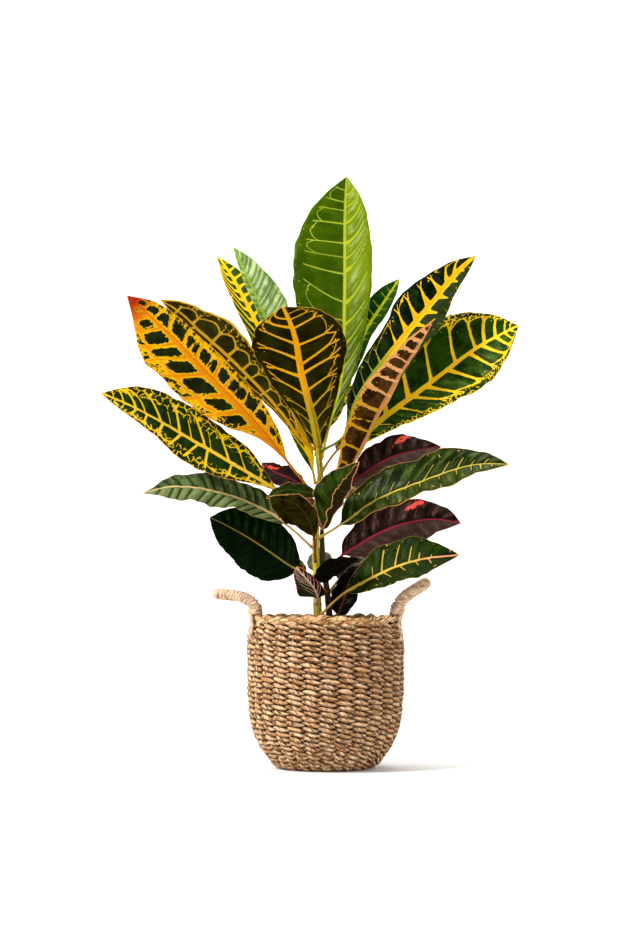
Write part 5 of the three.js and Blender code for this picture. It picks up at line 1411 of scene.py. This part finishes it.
# %% Grass
def grass_material(name, straws, dark, lines_round=7.5, shade=0.0):
    """Layers of colour on the first straw: cloudy straws, fibres, painted shade and highlights."""
    material, g, principled = new_material(name)
    along, around, number = g.split(g.attribute("strand"))
    turned = g.times(g.times_plus(along, 0.05, around), TURN)
    reach = lines_round / TURN
    fibre = g.vector(g.times(g.math("SINE", turned), reach),
                     g.times(g.math("COSINE", turned), reach),
                     g.times_plus(number, 60.0, g.times(along, 0.07)))
    lines = g.noise(fibre, 1.0, 2.0, 0.6)
    hair = g.noise(fibre, 3.1, 2.0, 0.6)
    cloud = g.noise(g.vector(along, g.times(around, 3.0), g.times(number, 90.0)), 0.13, 2.0)
    upward = g.math("SINE", g.times(around, TURN))
    weathered = g.ramp(g.math("FRACT", g.times(number, 7.3)), 0.5, 1.0)
    lit = g.times(g.ramp(upward, 0.15, 0.6), g.ramp(lines, 0.45, 0.6))
    dive = g.ramp(g.split(g.attribute("dive"))[0], 0.92, 1.34)
    base = g.mix(g.ramp(number, 0.0, 1.0), straws[0], straws[1])
    for tint, mask, amount in (
            (straws[2], g.ramp(cloud, 0.42, 0.62), 1.0),
            (straws[3], g.ramp(cloud, 0.60, 0.74), 1.0),
            # Light fibre lines: partly paler fibres and partly painted highlight.
            ("f6dcb4", g.ramp(hair, 0.50, 0.62), 0.45),
            ("f4d6ae", g.ramp(lines, 0.51, 0.60), 0.6),
            (straws[2], weathered, 0.45),
            (dark, g.ramp(lines, 0.46, 0.36), 0.85),
            # Painted highlight on the upper side, painted shade on the lower half and both edges,
            # and painted shade where a strand dives.
            ("f4dcbc", lit, 0.55 * shade),
            (straws[3], g.ramp(upward, 0.15, -0.40), 0.6 * shade),
            (dark, g.ramp(upward, 0.80, 1.0), 0.45 * shade),
            (dark, g.ramp(upward, -0.35, -0.85), 0.6 * shade),
            (dark, dive, 0.95)):
        base = g.paint(base, tint, mask, amount)
    finish_surface(g, principled, base, g.times_plus(lines, -0.25, 0.80),
                   g.times_plus(hair, 0.5, lines), distance=0.0012, strength=0.9, gloss=0.1)
    return material


wall_grass = grass_material("twined_grass", ("b67e42", "d4a46e", "965a26", "743a0e"), "100400",
                            shade=0.85)
# Painted shade: the stakes and the lining behind the strands are coloured dark brown.
shade_dark_grass = grass_material("shade_dark_grass", ("5a3c1c", "6a4824", "4a3016", "3a2410"), "1c1008")
rim_grass = grass_material("rim_grass", ("ae7a44", "d0a068", "905826", "683410"), "1c0a00", 9.0)
cord_grass = grass_material("handle_cord", ("ccaa90", "d8baa2", "b4907a", "9c7a58"), "7c5a40")
print("grasses mixed")

# %% [markdown]
# The floor is twined with fewer stakes towards its middle, and the rows of the wall follow. They
# are drawn in two pieces: the floor with the lower rows, and the upper rows.

# %% Weave
FLOOR_COUNTS = [28, 28, 28, 14, 14, 14, 8, 8]
LOW_ROWS = 14

row_lengths = floor_length + pitch * (np.arange(ROWS) + 0.5)
floor_lengths = floor_length - pitch * (np.arange(len(FLOOR_COUNTS)) + 0.5)
low_lengths = np.concatenate([floor_lengths, row_lengths[:LOW_ROWS]])
for name, lengths, counts in (
        ("basket_weave_low", low_lengths, FLOOR_COUNTS + [STAKES] * LOW_ROWS),
        ("basket_weave_high", row_lengths[LOW_ROWS:], [STAKES] * (ROWS - LOW_ROWS))):
    points, quads, places, dives = twined_rows(lengths, counts, pitch)
    new_piece(name, points, quads, wall_grass, "basket", {"strand": places, "dive": dives})
    print(name, "triangles:", 2 * len(quads))

# %% [markdown]
# Behind the strands stand the stakes, and behind them the inner side of the wall; both are coloured
# dark as painted shade, which shows through the gaps between strands.

# %% Stakes and lining
radius, height = outline_inside(np.linspace(4, outline_length[-1] - 1, 46), 2.9)
stakes = [tube(around_axis(radius, height, angle), 1.5, 8)
          for angle in full_turn(STAKES) - np.pi / 2]
strand_piece("basket_stakes", stakes, shade_dark_grass, "basket",
             numbers=random.uniform(0, 1, STAKES))

turn = full_turn(84)
lengths = np.linspace(1, outline_length[-1], 90)
outer = np.stack(outline_inside(lengths, 3.9), axis=1)
inner = np.stack(outline_inside(lengths, 5.3), axis=1)[::-1]
section = np.concatenate([outer, inner])
ripple = 0.25 * np.sin(section[:, 1:2] * 2 * np.pi / pitch) * np.cos(STAKES * turn / 2)[None, :]
rings = around_axis(section[:, 0:1] + ripple, section[:, 1:2], turn)
strand_piece("basket_lining", [rings], shade_dark_grass, "basket")
print("stakes:", len(stakes))

# %% [markdown]
# The rim is a rope of two thick strands laid round the top, a little lower at the front right.

# %% Rim
rope_middle = float(wall_radius(RIM_TOP - 2 * RIM_RADIUS)[0]) - RIM_RADIUS + 1.2
angle = full_turn(560)
strands = []
for number in range(2):
    spin = -13 * angle + 0.5 * np.sin(5 * angle) + number * np.pi
    wobble = 0.4 * np.sin(7 * angle + number) + 0.4 * np.sin(23 * angle + 2 * number)
    dip = 2.0 * np.exp(-(((angle - 5.25) / 0.38) ** 2)) + 0.5 * np.sin(5 * angle)
    z = RIM_TOP - RIM_RADIUS - 0.5 + 2.5 * np.sin(spin) + wobble - dip
    path = around_axis(rope_middle + 2.5 * np.cos(spin) + wobble, z, angle)
    size = 3.2 + 0.4 * np.sin(31 * angle + 2 * number) * np.sin(9 * angle)
    strands.append(tube(path, size, 14, twist=14 * angle, lobes=4, lobe_depth=0.10, closed=True))
strand_piece("basket_rim", strands, rim_grass, "basket", closed_rings=True)
print("rim radius in mm:", round(rope_middle, 1))

# %% [markdown]
# Dried grass frays, so short loose fibres stick out of the wall here and there.

# %% Loose fibres
FIBRES = 150
upright = np.array([0, 0, 1.0])
q = np.linspace(0, 1, 9)[:, None]
fibres = []
for number in range(FIBRES):
    length = float(row_lengths[random.integers(2, ROWS)])
    angle = random.uniform(0, 2 * np.pi)
    radius, height, _, _ = outline_point(length)
    start = around_axis(radius, height, angle)
    out = np.array([np.cos(angle), np.sin(angle), 0.0])
    across = np.array([-np.sin(angle), np.cos(angle), 0.0])
    reach = random.uniform(3, 9)
    way = random.choice([-1, 1])
    rise = random.uniform(-0.5, 0.5)
    path = (start + out * (0.8 + random.uniform(0.6, 2.6) * np.sin(q * 2.2))
            + across * way * reach * q + upright * reach * rise * q ** 1.5)
    fibres.append(tube(path, np.linspace(0.24, 0.08, 9), 5))
strand_piece("basket_fibres", fibres, rim_grass, "basket", numbers=random.uniform(0, 1, FIBRES))
print("fibres:", len(fibres))

# %% [markdown]
# ## The handles
# Each handle is a low loop of cord wound closely with a thinner cord. It stands on the rim, and
# twisted lashings run from its feet over the rim and down the outside of the wall.

# %% Handle path
HANDLES = {
    "left": ((-79.3, 175.4), (-80.5, 180.6), (-82.5, 185.5), (-88, 190.5), (-94, 193.6),
             (-101, 195.4), (-109, 196.2)),
    "right": ((81.6, 175.4), (82.5, 180.6), (84, 185.5), (87.5, 190.5), (92, 195), (97, 198.8),
              (102.5, 202.2)),
}
FOOT_AT = 27
CORE_RADIUS = 4.7
CORD_RADIUS = 1.9


def handle_path(line, count):
    """Points along the whole loop: up one leg, round the bow and down the other leg."""
    line = np.array(line, dtype=float)
    t = np.linspace(0, 1, len(line))
    spread = FOOT_AT + 3 * np.sin(np.pi * np.clip(t * 1.2 - 0.2, 0, 1))
    near = np.stack([line[:, 0], -spread, line[:, 1]], axis=1)
    far = np.stack([line[:, 0], spread, line[:, 1]], axis=1)[::-1]
    way = 13 * unit(line[-1] - line[-2])
    wide = float(spread[-1])
    bow = [(0.72, -(wide - 6)), (1.02, -(wide - 17)), (1.08, 0.0), (1.02, wide - 17),
           (0.72, wide - 6)]
    middle = np.array([[line[-1, 0] + k * way[0], y, line[-1, 1] + k * way[1]] for k, y in bow])
    points = np.vstack([near, middle, far])
    return smooth_curve(chord_knots(points), points, np.linspace(0, 1, count))


def wound(path, radius, pitch, thick):
    """A thin cord wound round a path: it turns once every pitch, at the given radius. Each turn
    slants: it lies slant * sin(angle) further back above the path than below it."""
    length = lengths_along(path)
    turns = length[-1] / pitch
    where = np.linspace(0, length[-1], int(turns * 14))
    angle = 2 * np.pi * where / pitch
    slant = 1.9 * np.clip(np.minimum(where, length[-1] - where) / 12, 0, 1)
    where = where - slant * np.sin(angle)
    centre, ahead, behind = [
        np.stack([np.interp(where + step, length, path[:, c]) for c in range(3)], axis=1)
        for step in (0, 2, -2)]
    side = unit(np.cross(unit(ahead - behind), np.array([0.2, 0.35, 1.0])))
    up = np.cross(side, unit(ahead - behind))
    r = (radius + 0.10 * np.sin(where * 0.9) + 0.08 * np.sin(where * 2.3))[:, None]
    helix = centre + side * np.cos(angle)[:, None] * r + up * np.sin(angle)[:, None] * r
    return tube(helix, thick, 9, twist=where * 2.6, lobes=3, lobe_depth=0.13)


print("handle paths ready")

# %% [markdown]
# Two lashings hold each foot to the rim, and four turns of cord lie round it above them.

# %% Handles and lashings
def lashing(y, top, sign):
    """A cord from the handle's foot over the rim and down the wall, at the depth y."""
    wall = [math.sqrt(float(wall_radius(z)[0]) ** 2 - y * y) + 1.4 for z in (168, 162, 155, 148)]
    stops = [(top + 1.0, 184.0), (top + 5.5, 180.5), (wall[0] + 4.8, 174.0),
             (wall[0] + 3.6, 167.5), (wall[1] + 0.8, 161), (wall[2] + 0.6, 155),
             (wall[3] + 0.2, 148.5), (wall[3] - 3.5, 145)]
    wander = random.normal(0, 0.35, len(stops))
    points = np.array([(sign * x, y + w, z) for (x, z), w in zip(stops, wander)])
    run = smooth_curve(chord_knots(points), points, np.linspace(0, 1, 90))
    return tube(run, CORD_RADIUS, 10, twist=np.linspace(0, 34, 90), lobes=2, lobe_depth=0.22)


def knot_ring(number, foot, x, sign):
    """One of the four turns of cord round the handle's foot, from the highest down."""
    angle = full_turn(40)
    ring = np.stack([x - 0.4 * sign * number + 5.6 * np.cos(angle), foot + 5.6 * np.sin(angle),
                     183.5 - 2.7 * number + 0.9 * np.sin(angle + number)], axis=1)
    return tube(ring, 1.6, 10, twist=np.linspace(0, 19, 40), lobes=2, lobe_depth=0.2)


for side_name, line in HANDLES.items():
    node = "handle_" + side_name
    path = handle_path(line, 400)
    winding = wound(path, CORE_RADIUS, 3.5, CORD_RADIUS)
    strand_piece(node + "_cord", [tube(path, CORE_RADIUS, 12), winding], cord_grass, node)
    lashings = []
    sign = -1 if side_name == "left" else 1
    for foot in (-FOOT_AT, FOOT_AT):
        for offset in (-1.8, 1.8):
            lashings.append(lashing(foot + offset, line[1][0] * sign, sign))
        for number in range(4):
            lashings.append(knot_ring(number, foot, line[1][0], sign))
    strand_piece(node + "_lashing", lashings, cord_grass, node)
    print(node, "cords at the feet:", len(lashings))

# %% [markdown]
# ## The nursery pot and the soil
# The brown plastic pot stands inside the basket. The soil fills it to a centimetre below the lip:
# an uneven surface with crumbs of bark and a few white grains of perlite on top.

# %% Pot
POT_SECTION = ((0.5, 6.3), (50.5, 6.3), (52, 7.3), (74, 158.8), (76.2, 159.4), (76.2, 166.4),
               (75.6, 167), (74.6, 166.6), (72.6, 158.4), (50.6, 8.3), (0.5, 8.1))


def lathe(section, around, copies=4):
    """Rings round the Z axis through a section of (radius, height) points."""
    section = np.array(section, dtype=float)
    share = np.linspace(0, 1, copies + 1)[:-1, None]
    rings = [first + (second - first) * share for first, second in zip(section[:-1], section[1:])]
    rings = np.vstack([*rings, section[-1:]])
    return around_axis(rings[:, :1], rings[:, 1:], full_turn(around))


brown_plastic, g, principled = new_material("brown_plastic")
dust = g.noise(g.position(), 90.0, 4.0)
scuff = g.noise(g.position(), 700.0, 3.0)
plastic = g.mix(g.ramp(dust, 0.45, 0.75), "2a1d15", "4a382a")
finish_surface(g, principled, plastic, g.times_plus(dust, 0.3, 0.35), scuff, distance=0.0002,
               strength=0.4)
strand_piece("nursery_pot_shell", [lathe(POT_SECTION, 96)], brown_plastic, "nursery_pot",
             smooth=False)
print("pot drawn")

# %% [markdown]
# The soil's height is a sum of soft waves that fades out at the rim:
# z = profile(r) + 0.9 * waves * (1 - (r / R)^8).

# %% Soil
SOIL_EDGE = 72.4
SOIL_PROFILE = ((0, 26, 44, 60, 72.6), (161.5, 160.5, 161, 158.5, 157.6))

potting_soil, g, principled = new_material("potting_soil")
lumps = g.noise(g.position(), 260.0, 6.0, 0.7)
damp = g.noise(g.position(), 38.0, 2.0)
earth = g.mix(g.ramp(lumps, 0.35, 0.7), "1b130d", "4a3524")
earth = g.paint(earth, "2a1e14", g.ramp(damp, 0.4, 0.7))
rise = g.times_plus(g.cells(g.position(), 420.0)["Distance"], -0.6, lumps)
finish_surface(g, principled, earth, 0.92, rise, distance=0.0016, strength=0.9)

radius = np.concatenate([np.linspace(0.4, SOIL_EDGE, 66), [72.2, 50.5, 0.4]])[:, None]
angle = full_turn(150)
x = radius * np.cos(angle)
y = radius * np.sin(angle)
waves = (np.sin(x * 0.21 + 1) * np.cos(y * 0.17) + 0.6 * np.sin(x * 0.43 + y * 0.31)
         + 0.4 * np.cos(y * 0.71 - x * 0.55) + 0.25 * np.sin(x * 1.3) * np.sin(y * 1.1 + 2))
z = np.interp(radius, *SOIL_PROFILE) + 0.9 * waves * (1 - (radius / SOIL_EDGE) ** 8)
z[-3:] = np.array([150.0, 8.6, 8.6])[:, None]
strand_piece("soil_surface", [around_axis(radius, z, angle)], potting_soil, "soil")
print("soil drawn")

# %% [markdown]
# Crumbs of bark and grains of perlite lie on the soil, each one squeezed, roughened and turned at
# random.

# %% Crumbs and perlite
def crumbs(name, count, sizes, shape, material):
    """Small lumps strewn over the soil: a ball of rings squeezed and roughened at random."""
    steps = np.linspace(0, np.pi, 6)[:, None]
    turn = full_turn(7)
    round_ball = around_axis(np.sin(steps), np.cos(steps), turn)
    strips = []
    for number in range(count):
        r = 70 * math.sqrt(random.uniform(0.02, 1))
        bearing = random.uniform(0, 2 * np.pi)
        size = random.uniform(*sizes)
        scale = size * random.uniform(0.6, 1.2, 3) * np.array(shape)
        rough = 1 + random.uniform(-0.22, 0.22, (6, 7))
        spin = random.uniform(0, np.pi)
        ball = round_ball * rough[..., None] * scale
        flat = ball[..., 0] * math.cos(spin) - ball[..., 1] * math.sin(spin)
        ball[..., 1] = ball[..., 0] * math.sin(spin) + ball[..., 1] * math.cos(spin)
        ball[..., 0] = flat
        strips.append(ball + around_axis(r, np.interp(r, *SOIL_PROFILE) + 0.4, bearing))
    strand_piece(name, strips, material, "soil", numbers=random.uniform(0, 1, count))


bark, g, principled = new_material("bark_chips")
number = g.split(g.attribute("strand"))[2]
pores = g.noise(g.position(), 900.0, 3.0)
tone = g.paint(g.mix(number, "3a2818", "7a5634"), "22160e", pores, 0.6)
finish_surface(g, principled, tone, 0.9, pores, distance=0.0005, strength=0.8)
perlite, g, principled = new_material("perlite")
pits = g.noise(g.position(), 1500.0, 3.0)
finish_surface(g, principled, g.mix(pits, "cfc8b8", "f2efe6"), 0.85, pits, distance=0.0004,
               strength=0.7)
crumbs("soil_crumbs", 620, (0.8, 2.8), (1.3, 0.9, 0.55), bark)
crumbs("soil_perlite", 60, (0.7, 1.5), (1.0, 1.0, 0.8), perlite)
print("soil strewn")

# %% [markdown]
# ## Stage, light and camera
# A pale round floor curves up into a pale wall on every side, so the plant can be seen from all
# round. Four large soft lamps and a dim surround light the plant: the key from the front left, a
# fill from the right, one from above, and one that brightens the wall behind.

# %% Stage
FLOOR_LEVEL = -0.6
white, g, principled = new_material("pale_paper")
paper = g.mix(g.noise(g.position(), 6.0, 2.0), "f0efee", "f4f3f2")
finish_surface(g, principled, paper, 0.85)
bend = np.linspace(0, np.pi / 2, 20)
flat = np.array([[r, FLOOR_LEVEL] for r in (1, 800, 1600)])
curved = np.stack([2600 + 900 * np.sin(bend), 900 + FLOOR_LEVEL - 900 * np.cos(bend)], axis=1)
sweep = np.concatenate([flat, curved, [[3500, 3200]]])
rings = around_axis(sweep[:, 0:1], sweep[:, 1:2], full_turn(96))
floor = mesh_object("floor", rings, strip_quads(len(sweep), 96), white)
print("floor rings:", len(sweep))


def lamp(name, place, aim, size, power, tint=(1.0, 1.0, 1.0)):
    """A square area lamp at a place, turned so that it shines towards a point."""
    light = bpy.data.lights.new(name, "AREA")
    light.size = size
    light.energy = power
    light.color = tint
    holder = bpy.data.objects.new(name, light)
    direction = mathutils.Vector(aim) - mathutils.Vector(place)
    holder.rotation_euler = direction.to_track_quat("-Z", "Y").to_euler()
    holder.location = place
    bpy.context.scene.collection.objects.link(holder)


WARM = (1.0, 0.98, 0.95)
lamp("key", (-1.7, -1.1, 1.9), (0, 0, 0.3), 0.5, 84, WARM)
lamp("fill", (1.6, -1.6, 0.9), (0, 0, 0.3), 0.7, 9, WARM)
lamp("top", (0.1, 0.3, 2.2), (0, 0, 0.2), 1.0, 34)
lamp("wall", (0, 1.0, 3.0), (0, 3.5, 2.0), 1.8, 120)
world = bpy.data.worlds.new("surround")
world.use_nodes = True
world.node_tree.nodes["Background"].inputs[0].default_value = (1, 1, 1, 1)
world.node_tree.nodes["Background"].inputs[1].default_value = 0.12
bpy.context.scene.world = world

# %% [markdown]
# The camera stands two metres and forty away, a little below the middle of the plant, and looks
# up at it through a long lens.

# %% Camera
MIDDLE_X = -0.0178
camera_data = bpy.data.cameras.new("camera")
camera_data.lens = 80.9
camera_data.sensor_width = 36
camera = bpy.data.objects.new("camera", camera_data)
camera.location = (MIDDLE_X, -2.4, 0.205)
direction = mathutils.Vector((MIDDLE_X, 0, 0.3455)) - camera.location
camera.rotation_euler = direction.to_track_quat("-Z", "Y").to_euler()
bpy.context.scene.collection.objects.link(camera)
bpy.context.scene.camera = camera
bpy.context.scene.view_settings.view_transform = "Standard"
print("camera distance in m:", round(direction.length, 3))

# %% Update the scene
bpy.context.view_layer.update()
